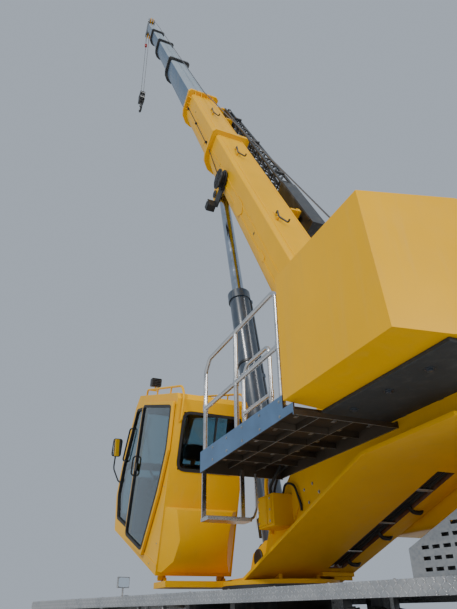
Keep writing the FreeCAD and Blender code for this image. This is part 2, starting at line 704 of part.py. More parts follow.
def side_platform():
    """Walkway along the left side: a floor on ribs behind a deep edge board, whose lower half
    runs on under the counterweight."""
    x0, x1 = S["weight_front"] + 20, S["platform_front"]
    y0, y1 = S["side_plate_in"] + S["side_plate_thick"], S["upper_half_width"] - 24
    top, thick = S["platform_top"], 12
    high = top + S["toe_board"]
    low, tail = high - S["platform_depth"], x0 - 146
    floor = box(x0, x1, y0, y1, top - thick, top)
    board = side_plate([(x1, low), (x1, high), (x0, high), (x0, top - 28), (tail, top - 28),
                        (tail, low + 29)], y1 - thick, y1)
    edges = [board, box(x1 - thick, x1, y0, y1, low, high),
             box(tail, x1, y0, y0 + thick, top - 112, top - 62),
             box(x0, x1, y0, y0 + thick, top - 63, top),
             box(tail, tail + thick, y0, y1, top - 112, top - 77)]
    ribs = []
    for index in range(1, 5):
        x = x1 - index * 330
        ribs.append(box(x - 4, x + 4, y0, y1, top - 62, top))
    for index in (1, 2):
        y = y0 + (y1 - y0) * index / 3
        ribs.append(box(x0, x1, y - 4, y + 4, top - 62, top))
    return join([floor] + edges + ribs)


def handrails():
    """Rails round the platform's outer side and front, on posts."""
    top, rail = S["platform_top"], S["platform_top"] + S["rail_height"]
    middle = top + S["rail_height"] * 0.5
    r = S["tube_radius"]
    outer, front, rear = S["upper_half_width"] - 36 - r - FIT, S["platform_front"] - 45, -2440
    inner = outer - 420
    pieces = [bent_tube(r, [(front, outer, top), (front, outer, rail - 110),
                            (front - 110, outer, rail), (rear, outer, rail), (rear, outer, top)]),
              bent_tube(r, [(-1640, outer, top), (-1640, outer, rail)]),
              bent_tube(r, [(front, outer, middle), (rear, outer, middle)]),
              bent_tube(r, [(front, inner, top), (front, inner, rail - 110),
                            (front - 110, inner, rail), (-1500, inner, rail),
                            (-1500, inner, top)]),
              bent_tube(r, [(front, inner, middle), (-1500, inner, middle)])]
    return group([join(pieces[:3]), join(pieces[3:])])


def hanging_step():
    """Step below the platform's front end, on two hangers with a bent grab tube."""
    low = S["platform_top"] + S["toe_board"] - S["platform_depth"]
    x, y0, y1 = S["platform_front"] - 20, 800, S["upper_half_width"] - 40
    hangers = [box(x - 8, x + 14, y, y + 40, low - 420, low + 60) for y in (y0, y1 - 40)]
    tread = box(x - 150, x + 30, y0, y1, low - 430, low - 400)
    grab = bent_tube(12, [(x, y0 - 120, low + 30), (x, y0 - 120, low - 300), (x - 60, y0 - 60, low - 380),
                          (x - 60, y0 + 20, low - 415)])
    return join(hangers + [tread, grab])


def junction_boxes():
    """Cover with valves and the filter below the platform, on the left side plate."""
    side = S["side_plate_in"] + S["side_plate_thick"]
    return join([box(-1030, -720, side, side + 215, 2135, 2425),
                 box(-1010, -740, side + 215, side + 230, 2155, 2405)])


def right_housing():
    """Oil cooler and its tank on the right of the upper frame, on two brackets."""
    side = S["side_plate_in"] + S["side_plate_thick"]
    house = box(-2450, -1050, -1240, -650, 2080, 2640)
    edges = [edge for edge in house.Edges if abs(edge.tangentAt(0).x) > 0.9]
    house = house.makeFillet(50, edges)
    brackets = [box(x, x + 80, -660, -side, 2515, 2575) for x in (-2300, -1300)]
    return join([house] + brackets)


CAB_OUTLINE = [
    # forward of the cab's foot, above the floor: the side view of the cab
    (0, 0), (S["cab_length"] - 230, 0), (S["cab_length"], 450), (S["cab_length"] - 80, 900),
    (S["cab_length"] - 470, S["cab_height"] - 170), (S["cab_length"] - 640, S["cab_height"]),
    (60, S["cab_height"]), (0, S["cab_height"] - 60)]


def inset(points, by):
    """The outline moved in by a distance, for the hollow."""
    wire = Part.makePolygon([Vector(x, 0, z) for x, z in points + points[:1]])
    face = Part.Face(wire)
    return face.makeOffset2D(-by)


def cab_openings():
    """What is cut from the cab's walls: the door's opening, then one space for each pane."""
    left, right, wall = S["cab_left"], S["cab_right"], S["cab_wall"]
    front, roof = S["cab_length"], S["cab_height"]
    low, head = 900, roof - 210
    return [side_plate([(620, 130), (1480, 130), (1480, roof - 170), (120, roof - 170),
                        (120, 1300), (250, 850)], left - wall - 1, left + 1),
            side_plate([(1540, 180), (front - 290, 180), (front - 110, 470), (front - 180, 880),
                        (front - 580, head), (1540, head + 40)], left - wall - 1, left + 1),
            side_plate([(500, low), (front - 220, low), (front - 580, head), (500, head + 40)],
                       right - 1, right + wall + 1),
            box(-1, wall + 1, right + 75, left - 95, roof - 850, head),
            box(350, 1450, right + 130, left - 130, roof - wall - 1, roof + 1),
            box(front - 400, front + 100, right + 90, left - 90, 200, low - 30),
            side_plate([(front - 300, low + 60), (front + 70, low + 60), (front - 260, head - 20),
                        (front - 620, head - 20)], right + 70, left - 70)]


def cab_layer(outside, inside):
    """A hollow of the cab's shape between two depths in its walls."""
    left, right = S["cab_left"], S["cab_right"]
    shapes = []
    for depth in (outside, inside):
        shape = inset(CAB_OUTLINE, depth).extrude(Vector(0, left - right - 2 * depth, 0))
        shape.translate(Vector(0, right + depth, 0))
        shapes.append(shape)
    return shapes[0].cut(shapes[1])


def cab_shell():
    """Hollow cab with its door opening, screens and rear window cut, and the door's rails."""
    left = S["cab_left"]
    body = side_plate(CAB_OUTLINE, S["cab_right"], left)
    wall = S["cab_wall"]
    hollow = inset(CAB_OUTLINE, wall).extrude(Vector(0, left - S["cab_right"] - 2 * wall, 0))
    hollow.translate(Vector(0, S["cab_right"] + wall, 0))
    rails = [box(0, 1500, left - 1, left + GAP - FIT, height, height + 26)
             for height in (84, S["cab_height"] - 138)]
    return join([body.cut(hollow)] + rails).cut(cab_openings())


def cab_rear_box():
    """Air unit on the cab's back wall, its rear face bulged and its ends drawn in."""
    left, right, deep, end = S["cab_left"], S["cab_right"], 190, 150
    bulge = side_plate([(0, 40), (-40, 40), (-150, 180), (-deep, 400), (-120, 700), (0, 700)],
                       right + 20, left - 20)
    for side, edge in ((1, left - 20), (-1, right + 20)):
        corner = Part.makePolygon([Vector(-deep - 1, edge + side, 0), Vector(0, edge + side, 0),
                                   Vector(0, edge, 0), Vector(-deep - 1, edge - side * end, 0),
                                   Vector(-deep - 1, edge + side, 0)])
        bulge = bulge.cut(Part.Face(corner).extrude(Z_AXIS * 800))
    return bulge


def cab_hinge():
    """Tubes under the cab floor that turn on the support's pins."""
    pieces = []
    where = CAB.inverse() * UPPER * Placement(Vector(600, 0, S["upper_floor"] + 95), Rotation())
    x, z = where.Base.x, where.Base.z
    for y in (S["cab_right"] + 60, S["cab_left"] - 140):
        tube = cylinder(24, (x, y + 36, z), (x, y + 86, z))
        plate = box(x - 20, x + 20, y + 36, y + 86, z, 0)
        hole = cylinder(13 + FIT, (x, y + 20, z), (x, y + 68, z))
        pieces.append(tube.fuse(plate).cut(hole))
    return group(pieces)


def cab_glass():
    """Fixed panes of 6 mm, each filling its opening in the middle of the wall."""
    middle = S["cab_wall"] / 2
    layer = cab_layer(middle - 3, middle + 3)
    return group([layer.common(opening) for opening in cab_openings()[1:]])


def cab_interior():
    """Floor mat with the seat and its armrests, and the console with the steering wheel."""
    middle = (S["cab_left"] + S["cab_right"]) / 2
    wall = S["cab_wall"]
    base = box(700, 1100, middle - 200, middle + 200, wall, 430)
    cushion = box(640, 1200, middle - 240, middle + 240, 430, 560)
    back = side_plate([(600, 520), (740, 520), (620, 1150), (480, 1150)],
                      middle - 230, middle + 230)
    arms = [box(700, 1250, middle + s * 300 - 60, middle + s * 300 + 60, 430, 760)
            for s in (-1, 1)]
    links = [box(760, 1000, middle - 300, middle + 300, 430, 470)]
    mat = box(300, 2100, middle - 330, middle + 330, wall, wall + 12)
    console = side_plate([(1900, wall), (2100, wall), (2200, 450), (2100, 800), (1950, 780)],
                         middle - 260, middle + 260)
    column = cylinder(35, (1950, middle, 600), (1700, middle, 904))
    wheel = cylinder(190, (1712, middle, 888), (1696, middle, 912))
    wheel = wheel.cut(cylinder(160, (1720, middle, 876), (1688, middle, 924)))
    spokes = box(1690, 1718, middle - 175, middle + 175, 890, 905)
    return join([mat, base, cushion, back, console, column, wheel, spokes] + arms + links)


def cab_rails():
    """Rails along the roof's edges, the left one with a work lamp on its front end."""
    left, right, top = S["cab_left"], S["cab_right"], S["cab_height"]
    r = 14
    pieces = []
    front = S["cab_length"] - 800
    for y in (left - 60, right + 60):
        pieces.append(bent_tube(r, [(250, y, top), (250, y, top + 90), (front, y, top + 90),
                                    (front, y, top)]))
    foot = box(front - 90, front - 50, left - 170, left - 60, top + 80, top + 160)
    lamp = box(front - 140, front, left - 220, left - 70, top + 145, top + 275)
    pieces[0] = join([pieces[0], foot, lamp])
    return group(pieces)


def cab_mirror():
    """Mirror on an arm at the cab's front left post."""
    left, x = S["cab_left"], S["cab_length"] + 190
    arm = bent_tube(12, [(x - 320, left + 12, 660), (x + 60, left + 60, 820),
                         (x + 60, left + 60, 1100)])
    head = box(x + 40, x + 80, left - 20, left + 130, 1000, 1280)
    return join([arm, head])


DOOR_OUTLINE = [
    # the sliding door, in the cab's side view
    (560, 70), (1530, 70), (1530, 1850), (60, 1850), (30, 1300), (180, 820)]


def door_frame():
    """Sliding door outside the left wall, with its window cut."""
    inside = S["cab_left"] + GAP
    body = side_plate(DOOR_OUTLINE, inside, inside + S["door_thick"])
    window = inset(DOOR_OUTLINE, 60).extrude(Vector(0, 200, 0))
    window.translate(Vector(0, inside - 50, 0))
    return body.cut(window)


def door_glass():
    inside = S["cab_left"] + GAP + S["door_thick"] / 2
    pane = inset(DOOR_OUTLINE, 60).extrude(Vector(0, 6, 0))
    pane.translate(Vector(0, inside - 3, 0))
    return pane


def boom_outline(width, height):
    """Half of a section's (y, height) outline: flat sides above, bent in steps below."""
    half, tall, corner = width / 2, height / 2, width * 0.07
    return [(half - corner, tall), (half, tall - corner), (half, -tall * 0.20),
            (half * 0.90, -tall * 0.55), (half * 0.62, -tall * 0.86), (half * 0.25, -tall)]


def boom_bar(width, height, start, end):
    """A solid bar with a section's outline, along X."""
    half = boom_outline(width, height)
    points = half + [(-y, z) for y, z in reversed(half)]
    return cross_plate(points, start, end)


def boom_tube(width, height, start, end):
    wall = 2 * S["boom_wall"]
    hollow = boom_bar(width - wall, height - wall, start - 1, end + 1)
    return boom_bar(width, height, start, end).cut(hollow)


def collar(width, height, inner_width, inner_height, start, length):
    """A band round a section, with a hollow of its own."""
    hollow = boom_bar(inner_width, inner_height, start - 1, start + length + 1)
    return boom_bar(width, height, start, start + length).cut(hollow)


def front_band(index, edge):
    """The band at a section's front edge, closed down to the pads that carry the next one."""
    width, height = section_size(index)
    inner_width, inner_height = section_size(index + 1)
    extra, length = 2 * S["collar_proud"], S["collar_length"]
    return collar(width + extra, height + extra, inner_width + 2 * FIT, inner_height + 2 * FIT,
                  edge - length, length)


def boom_base():
    """Base section with its foot on the pivot pin, its bands and the lift cylinder's lugs."""
    width, height, end = S["base_width"], S["base_height"], S["base_length"]
    wall = 2 * S["boom_wall"]
    tube = boom_tube(width, height, -120, end)
    hub = cylinder(170, (0, -width / 2, 0), (0, width / 2, 0))
    block = box(-160, 160, -width / 2, width / 2, -170, 170)
    extra = 2 * S["collar_proud"]
    bands = [front_band(0, end),
             collar(width + extra, height + extra, width - wall, height - wall, 6940, 120)]
    lugs = []
    pin_s, drop = S["lift_pin_s"], S["lift_pin_drop"]
    for side in (-1, 1):
        ear = side_plate([(pin_s - 380, -height / 2 + 40), (pin_s - 120, -drop - 40),
                          (pin_s - 60, -drop - 120), (pin_s + 60, -drop - 120),
                          (pin_s + 120, -drop - 40), (pin_s + 380, -height / 2 + 40)], 125, 165)
        lugs.append(ear if side > 0 else mirrored(ear))
    doubler = boom_bar(width + 24, height + 24, pin_s - 500, pin_s + 500)
    doubler = doubler.cut(boom_bar(width - wall, height - wall, pin_s - 600, pin_s + 600))
    doubler = doubler.cut(box(pin_s - 600, pin_s + 600, -500, 500, -height * 0.12, 500))
    whole = join([tube, hub, block] + bands + lugs + [doubler])
    whole = whole.cut(cylinder(S["pivot_pin"] + FIT, (0, -500, 0), (0, 500, 0)))
    return whole.cut(cylinder(S["lift_pin"] + FIT, (pin_s, -300, -drop), (pin_s, 300, -drop)))


def section_size(index):
    """Outside width and height of a telescopic section."""
    less = 2 * S["section_step"] * index
    return S["base_width"] - less, S["base_height"] - less * 1.02


def section_tail(index):
    """Tail of a section behind its own front edge."""
    return S["base_length"] - 550 + S["collar_step"] * 0.3


def boom_section(index):
    """A section from its tail to its front edge at x = 0, with its band."""
    width, height = section_size(index)
    tube = boom_tube(width, height, -section_tail(index), 0)
    if index == 4:
        return tube
    return join([tube, front_band(index, 0)])


def section_places():
    """Front edge of each section in the boom's frame, in the photo's pose."""
    place, places = S["base_length"], []
    for index in range(1, 5):
        place += S["collar_step"] + S["run_out_%d" % index]
        places.append(place)
    return places


def boom_head():
    """Head on section 4: cheeks, a closing plate, and the upper and lower sheaves."""
    width, height = section_size(4)
    half = width / 2
    cheek = [(0, height / 2), (0, -height / 2), (180, -height / 2 - 260), (480, -height / 2 - 260),
             (560, -height / 2), (800, height * 0.2), (800, height / 2 + 160),
             (560, height / 2 + 160), (420, height / 2)]
    plates = both_sides(side_plate(cheek, half - 30, half - 12))
    ends = [boom_bar(width, height, 0, 20), box(20, 300, -half + 12, half - 12, -60, -40)]
    pins = []
    for s, z in ((640, height / 2 + 30), (330, -height / 2 - 110)):
        pins.append(cylinder(30, (s, -half, z), (s, half, z)))
        for y in (-85, 25):
            pins.append(cylinder(165, (s, y, z), (s, y + 60, z)))
    return join(plates + ends + pins)


def lower_sheave():
    """Middle of the lower sheaves in section 4's frame."""
    width, height = section_size(4)
    return Vector(330, 0, -height / 2 - 110)


def jib():
    """Lattice jib folded along the right of the base: four chords with braces, narrower
    towards its tip, plated at its foot, on two brackets."""
    foot, tip = 3400, 9100
    wide, narrow = 105, 80
    near, middle = -500, 260
    def chord_point(s, out, up):
        share = (s - foot) / (tip - foot)
        half = wide + (narrow - wide) * share
        return (s, near - half + out * half, middle + up * half)
    sides = [(1, 1), (-1, 1), (-1, -1), (1, -1)]
    chords = [flat_sided_bar(27, 8, chord_point(foot, out, up), chord_point(tip, out, up))
              for out, up in sides]
    bays = 14
    braces = []
    for bay in range(bays):
        s0 = foot + (tip - foot) * bay / bays
        s1 = foot + (tip - foot) * (bay + 0.94) / bays
        for corner in range(4):
            a, b = sides[corner], sides[(corner + 1) % 4]
            braces.append(flat_sided_bar(15, 6, chord_point(s0 + 40, *a), chord_point(s1, *b)))
            braces.append(flat_sided_bar(15, 6, chord_point(s1 + 20, *a),
                                         chord_point(s1 + 20, *b)))
    plates = [box(foot - 100, foot + 1500, near - 2 * wide - 20, near + 20,
                  middle - wide - 24, middle + wide + 24)]
    nose = box(tip - 60, tip + 900, near - 2 * narrow, near, middle - narrow, middle + narrow)
    nose = nose.cut(box(tip + 40, tip + 901, near - 2 * narrow + 40, near - 40,
                        middle - narrow - 1, middle + narrow + 1))
    sheave = cylinder(narrow * 1.5, (tip + 700, near - narrow - 25, middle),
                      (tip + 700, near - narrow + 25, middle))
    pin = cylinder(20, (tip + 700, near - 2 * narrow, middle), (tip + 700, near, middle))
    brackets = [box(s, s + 70, near - 60, -S["base_width"] / 2, middle - 60, middle + 10)
                for s in (foot + 300, tip - 300)]
    return join(chords + braces + plates + [nose, sheave, pin] + brackets)


def cable_reel():
    """Cable reel on the left of the base, on a bracket that also carries a work lamp."""
    side, s, z = S["base_width"] / 2, 5400, -30
    drum = cylinder(110, (s, side, z), (s, side + 130, z))
    flanges = [cylinder(175, (s, side + y, z), (s, side + y + 14, z)) for y in (30, 116)]
    bracket = [box(s - 150, s + 100, side, side + 20, -480, -20),
               box(s - 150, s + 100, side, side + 150, -480, -460),
               box(s - 100, s + 40, side + 20, side + 170, -600, -480)]
    return join([drum] + flanges + bracket)


def lift_rod():
    """Rod with its eye on the boom's pin, along -X of the cylinder's frame from the eye."""
    tail = -S["rod_length"]
    rod = cylinder(S["rod_radius"], (0, 0, 0), (tail, 0, 0))
    piston = cylinder(S["barrel_radius"] - 20 - FIT, (tail, 0, 0), (tail + 180, 0, 0))
    eye = cylinder(125, (0, -120, 0), (0, 120, 0))
    pin = cylinder(S["lift_pin"], (0, -175, 0), (0, 175, 0))
    return join([rod, piston, eye, pin])


def lift_length():
    """Distance between the lift cylinder's pins in the photo's pose."""
    foot = Vector(S["lift_foot_x"], 0, S["lift_foot_z"])
    return (lift_top() - foot).Length


def lift_top():
    """The lift pin in the upper part's frame."""
    boom = Placement(Vector(S["pivot_x"], 0, S["pivot_z"]), Rotation(Y_AXIS, -S["boom_angle"]))
    return boom.multVec(Vector(S["lift_pin_s"], 0, -S["lift_pin_drop"]))


def lift_frame():
    """At the foot pin, with +X towards the lift pin."""
    foot = Vector(S["lift_foot_x"], 0, S["lift_foot_z"])
    line = lift_top() - foot
    angle = math.degrees(math.atan2(line.z, line.x))
    return UPPER * Placement(foot, Rotation(Y_AXIS, -angle))


def turned(points):
    """A solid turned about X from its (x, radius) outline."""
    wire = Part.makePolygon([Vector(x, 0, r) for x, r in points + points[:1]])
    return Part.Face(wire).revolve(Vector(), X_AXIS, 360)


def lift_barrel():
    """Barrel with its foot eye at the frame's origin, its end band and the pipe beside it."""
    radius, length = S["barrel_radius"], S["barrel_length"]
    inside, gland = radius - 20, S["rod_radius"] + FIT
    tube = turned([(60, 0), (60, 110), (120, 110), (120, radius), (length - 150, radius),
                   (length - 150, radius + 20), (length, radius + 20), (length, gland),
                   (length - 150, gland), (length - 150, inside), (180, inside), (180, 0)])
    eye = cylinder(150, (0, FIT - 200, 0), (0, 200 - FIT, 0))
    body = tube.fuse(eye).cut(cylinder(72, (0, -300, 0), (0, 300, 0)))
    pipe = cylinder(20, (1000, -radius - 40, 0), (length - 80, -radius - 40, 0))
    clips = [box(s, s + 60, -radius - 62, -radius + 10, -22, 22) for s in (1020, 2400)]
    clips.append(box(length - 130, length - 70, -radius - 62, -radius - 10, -22, 22))
    return body.fuse([pipe] + clips)


def falls():
    """Hoist rope between the head's lower sheaves and the hook block, drawn down from z = 0."""
    return group([cylinder(S["rope_radius"], (0, y, 0), (0, y, FIT - S["falls_length"]))
                  for y in (-57, 57)])


def hook_block():
    """Block with its sheaves under the falls, and the hook below it: shank and bent point."""
    top = -S["falls_length"]
    cheeks = [box(-190, 190, y, y + 22, top - 520, top) for y in (-112, 90)]
    middle = box(-160, 160, -30, 30, top - 520, top)
    crown = box(-190, 190, -112, 112, top - 22, top)
    sheaves = [cylinder(170, (0, y, top - 240), (0, y + 54, top - 240)) for y in (-87, 33)]
    pin = cylinder(40, (0, -125, top - 240), (0, 125, top - 240))
    foot = box(-120, 120, -112, 112, top - 560, top - 500)
    shank = cylinder(45, (0, 0, top - 540), (0, 0, top - 800))
    bend = Part.makeTorus(150, 48, Vector(0, 0, top - 940), Y_AXIS)
    bend = bend.cut(box(20, 400, -100, 100, top - 920, top - 560))
    tip = Part.makeSphere(46, Vector(148, 0, top - 932))
    return join(cheeks + [middle, crown, pin, foot] + sheaves + [shank, bend, tip])


def build():
    """Every sub-part, from the ground up."""
    tyre_shape = tyre()
    rims()
    knuckles()
    for name, along_x, along_y in CORNERS:
        shape_node("tyre_" + name, tyre_shape.copy(), wheel_frame(along_x, along_y))
    axles = []
    for side in (1, -1):
        piece = axle(side)
        piece.translate(Vector(side * S["wheelbase"] / 2, 0, 0))
        axles.append(piece)
    shape_node("axles", group(axles), CARRIER)
    shape_node("carrier_frame", carrier_frame(), CARRIER)
    shape_node("deck", deck(), CARRIER)
    outriggers()
    shape_node("engine_hood", engine_hood(), CARRIER)
    engine = bound_box("engine", "690", "620", "700", ("-2890", "-310", "850"))
    gearbox = bound_box("gearbox", "240", "380", "380", ("-2200", "-190", "1010"))
    feet = [bound_box("engine_foot_%d" % index, "80", "2 * (rail_side - rail_thick - pad_gap)", "60",
                      (place, "pad_gap - rail_side + rail_thick", "1180"))
            for index, place in enumerate(("-2820", "-2360"))]
    node(fused("power_unit", [engine, gearbox] + feet), "engine_block", CARRIER)
    shape_node("tow_lugs", tow_lugs(), CARRIER)
    shape_node("tanks", group(both_sides(tank())), CARRIER)
    shape_node("exhaust_guard", join([exhaust_guard(), silencer()]), CARRIER)
    shape_node("carrier_steps", group(both_sides(carrier_steps())), CARRIER)
    shape_node("carrier_lamps", carrier_lamps(), CARRIER)
    for label, low, high in (("slew_ring_lower", "rail_top", "ring_joint - pad_gap"),
                             ("slew_ring_upper", "ring_joint", "upper_floor")):
        disc = bound_cylinder(label + "_disc", "ring_radius", "%s - (%s)" % (high, low),
                              ("0", "0", low))
        hole = bound_cylinder(label + "_hole", "ring_hole", "%s - (%s)" % (high, low),
                              ("0", "0", low))
        ring = cut_away(label + "_ring", disc, hole)
        node(ring, label, CARRIER if label.endswith("lower") else UPPER)
    shape_node("upper_frame", join([upper_frame(), cab_support()]), UPPER)
    shape_node("counterweight", counterweight(), UPPER)
    shape_node("counterweight_floor", weight_floor(), UPPER)
    shape_node("winches", winches(), UPPER)
    shape_node("side_platform", join([side_platform(), hanging_step()]), UPPER)
    shape_node("handrails", handrails(), UPPER)
    shape_node("junction_box", junction_boxes(), UPPER)
    shape_node("cooler_housing", right_housing(), UPPER)
    shape_node("cab_shell", join([cab_shell(), cab_rear_box()] + cab_hinge().Solids), CAB)
    shape_node("cab_glass", cab_glass(), CAB)
    shape_node("cab_interior", cab_interior(), CAB)
    shape_node("cab_roof_rails", cab_rails(), CAB)
    shape_node("cab_mirror", cab_mirror(), CAB)
    shape_node("door_frame", door_frame(), CAB)
    shape_node("door_glass", door_glass(), CAB)
    shape_node("boom_base", boom_base(), BOOM)
    for index, place in enumerate(section_places(), start=1):
        shape_node("boom_section_%d" % index, boom_section(index), along(BOOM, X_AXIS, place))
    head = along(BOOM, X_AXIS, section_places()[3])
    shape_node("boom_head", boom_head(), head)
    shape_node("jib", jib(), BOOM)
    shape_node("cable_reel", cable_reel(), BOOM)
    shape_node("lift_barrel", lift_barrel(), lift_frame())
    shape_node("lift_rod", lift_rod(), along(lift_frame(), X_AXIS, lift_length()))
    hang = Placement(head.multVec(lower_sheave()), Rotation(Z_AXIS, -S["slew_angle"]))
    hang = along(hang, X_AXIS, 165 + S["rope_radius"] + FIT)
    shape_node("hoist_falls", falls(), hang)
    shape_node("hook_block", hook_block(), hang)


def settle_origin():
    """Move everything so that the origin is under the middle of the bounding box."""
    whole = FreeCAD.BoundBox()
    for thing in NODES:
        if thing.Shape.isNull() or not thing.Shape.Solids:
            raise RuntimeError("empty shape: " + thing.Label + str(thing.State))
        whole.add(thing.Shape.optimalBoundingBox())
    shift = Placement(Vector(-whole.Center.x, -whole.Center.y, -whole.ZMin), Rotation())
    for thing in NODES:
        thing.Placement = shift * thing.Placement
    return shift.Base


def check_and_write():
    for thing in doc.Objects:
        if "Invalid" in thing.State or "Error" in thing.State:
            raise RuntimeError("failed object: " + thing.Label)
    os.makedirs("parts", exist_ok=True)
    for thing in NODES:
        if thing.Shape.isNull() or not thing.Shape.isValid():
            raise RuntimeError("bad shape: " + thing.Label)
        thing.Shape.exportStep("parts/%s.step" % thing.Label)


build()
doc.recompute()
moved = settle_origin()
doc.recompute()
check_and_write()
print("nodes", len(NODES), "origin moved by", tuple(round(value, 3) for value in moved))
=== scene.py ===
"""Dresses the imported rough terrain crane: finishes, fittings, tyres, cab, ropes and the studio.

Sizes are in metres in the crane's own frame. Each fitting is worked out in the frame of the part
that carries it: the carrier, the slewing upper part, the boom, the cab or the lift cylinder.
"""

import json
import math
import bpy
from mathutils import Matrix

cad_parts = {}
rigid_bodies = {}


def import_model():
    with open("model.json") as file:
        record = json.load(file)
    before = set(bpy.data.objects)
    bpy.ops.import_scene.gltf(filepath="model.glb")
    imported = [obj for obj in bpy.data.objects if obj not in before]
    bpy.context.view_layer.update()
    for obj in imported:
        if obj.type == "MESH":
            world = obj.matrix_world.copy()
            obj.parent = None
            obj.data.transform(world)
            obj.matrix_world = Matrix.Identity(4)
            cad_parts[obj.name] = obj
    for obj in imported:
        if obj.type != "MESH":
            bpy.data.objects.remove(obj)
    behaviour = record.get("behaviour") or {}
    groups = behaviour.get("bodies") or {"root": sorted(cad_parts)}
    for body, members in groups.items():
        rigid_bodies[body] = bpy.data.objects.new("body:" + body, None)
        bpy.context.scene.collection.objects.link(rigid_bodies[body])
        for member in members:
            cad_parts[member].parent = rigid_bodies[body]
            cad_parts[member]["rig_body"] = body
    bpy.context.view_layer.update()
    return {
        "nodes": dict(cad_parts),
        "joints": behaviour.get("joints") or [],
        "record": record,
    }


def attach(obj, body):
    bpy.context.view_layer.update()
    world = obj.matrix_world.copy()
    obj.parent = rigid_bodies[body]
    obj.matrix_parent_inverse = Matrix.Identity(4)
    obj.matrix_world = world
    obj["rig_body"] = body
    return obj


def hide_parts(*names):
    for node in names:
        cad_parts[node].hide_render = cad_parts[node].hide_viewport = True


bl_info = {
    "name": "Rough Terrain Crane",
    "version": (1, 0, 0),
    "blender": (4, 5, 0),
    "location": "3D View > Sidebar > Crane",
    "description": "Dresses the crane with its finishes and fittings and sets up the studio",
    "category": "Object",
}

import bmesh
import bpy
import numpy as np
from mathutils import Matrix, Vector

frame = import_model()
NODES = frame["nodes"]
JOINTS = {joint["name"]: joint for joint in frame["joints"]}
CORNERS = {"front_left": (1, 1), "front_right": (1, -1), "rear_left": (-1, 1), "rear_right": (-1, -1)}


def unit(vector):
    vector = np.asarray(vector, float)
    return vector / np.linalg.norm(vector)


def frame_at(origin, x_way, y_way):
    """A 4 by 4 matrix with its origin and its X and Y directions given."""
    x_way, y_way = unit(x_way), unit(y_way)
    matrix = np.eye(4)
    matrix[:3, 0], matrix[:3, 1], matrix[:3, 2] = x_way, y_way, np.cross(x_way, y_way)
    matrix[:3, 3] = origin
    return matrix


def shifted(matrix, x, y, z):
    """The frame moved along its own axes."""
    moved = matrix.copy()
    moved[:3, 3] = matrix[:3, :3] @ np.array((x, y, z)) + matrix[:3, 3]
    return moved


SLEW_X, SLEW_Y, SLEW_Z = JOINTS["slew"]["pos_m"]
RING_LEVEL = 1.600
AXIS_FOOT = (SLEW_X, SLEW_Y, SLEW_Z - RING_LEVEL)
LEFT = -np.array(JOINTS["boom_luff"]["axis"])
CARRIER = frame_at(AXIS_FOOT, (1, 0, 0), (0, 1, 0))
UPPER = frame_at(AXIS_FOOT, np.cross(LEFT, (0, 0, 1)), LEFT)
BOOM_WAY = np.array(JOINTS["section_1_run_out"]["axis"])
BOOM = frame_at(JOINTS["boom_luff"]["pos_m"], BOOM_WAY, LEFT)
CAB_WAY = -np.array(JOINTS["cab_door_slide"]["axis"])
CAB = frame_at(shifted(UPPER, 0.520, 0, 1.805)[:3, 3], CAB_WAY, LEFT)
LIFT_WAY = -np.array(JOINTS["lift_cylinder_stroke"]["axis"])
LIFT = frame_at(shifted(UPPER, 0, 0, 1.950)[:3, 3], LIFT_WAY, LEFT)
SECTION_BODIES = ("boom", "section_1", "section_2", "section_3", "section_4")
HOMES = {"carrier": CARRIER, "upper": UPPER, "cab": CAB, "cab_door": CAB, "lift_barrel": LIFT,
         **{body: BOOM for body in SECTION_BODIES}}


# Shapes: each is a pair of points and faces, worked out as whole arrays

def grid_faces(rows, columns, wrap_rows=False, wrap_columns=False):
    """Four sided faces of a grid of points, row by row, that may close on itself either way."""
    row = np.arange(rows if wrap_rows else rows - 1)
    column = np.arange(columns if wrap_columns else columns - 1)
    r, c = (a.ravel() for a in np.meshgrid(row, column, indexing="ij"))
    r2, c2 = (r + 1) % rows, (c + 1) % columns
    return np.stack((r * columns + c, r2 * columns + c, r2 * columns + c2, r * columns + c2), 1).tolist()


def tube_faces(rows, columns):
    """Faces of a tube whose rings of points are the rows, closed by a flat cap at each end."""
    caps = [list(range(columns))[::-1], list(range((rows - 1) * columns, rows * columns))]
    return grid_faces(rows, columns, False, True) + caps


def joined(*shapes):
    """Several shapes as one, their faces renumbered."""
    points, faces, count = [], [], 0
    for shape_points, shape_faces in shapes:
        points.append(np.asarray(shape_points, float))
        faces += [[i + count for i in face] for face in shape_faces]
        count += len(shape_points)
    return np.concatenate(points), faces


def placed(shape, matrix):
    """The shape moved by a 4 by 4 matrix."""
    points, faces = shape
    return np.asarray(points) @ matrix[:3, :3].T + matrix[:3, 3], faces


def repeated(shape, matrices):
    """A copy of the shape at each matrix."""
    return joined(*[placed(shape, matrix) for matrix in matrices])


def moved(x, y, z):
    matrix = np.eye(4)
    matrix[:3, 3] = (x, y, z)
    return matrix


def rotation(axis, degrees):
    return np.array(Matrix.Rotation(math.radians(degrees), 4, axis))


def block(low, high):
    """A box between two corners."""
    corners = np.array([[x, y, z] for x in (low[0], high[0]) for y in (low[1], high[1])
                        for z in (low[2], high[2])], float)
    faces = [[0, 1, 3, 2], [4, 6, 7, 5], [0, 4, 5, 1], [2, 3, 7, 6], [0, 2, 6, 4], [1, 5, 7, 3]]
    return corners, faces


def angles(count):
    """Equal steps round a full turn."""
    return np.linspace(0, 2 * np.pi, count, endpoint=False)


def turned(profile, sides=32, way="Z"):
    """Surface of revolution: radius(t) * (cos a, sin a) with height(t) along the axis.
    profile holds (radius, height) pairs and closes on itself."""
    profile = np.asarray(profile, float)
    a, r = np.meshgrid(angles(sides), profile[:, 0], indexing="ij")
    height = np.broadcast_to(profile[:, 1], r.shape)
    across, up = r * np.cos(a), r * np.sin(a)
    order = {"Z": (across, up, height), "Y": (up, height, across), "X": (height, across, up)}[way]
    return np.stack(order, -1).reshape(-1, 3), grid_faces(sides, len(profile), True, True)


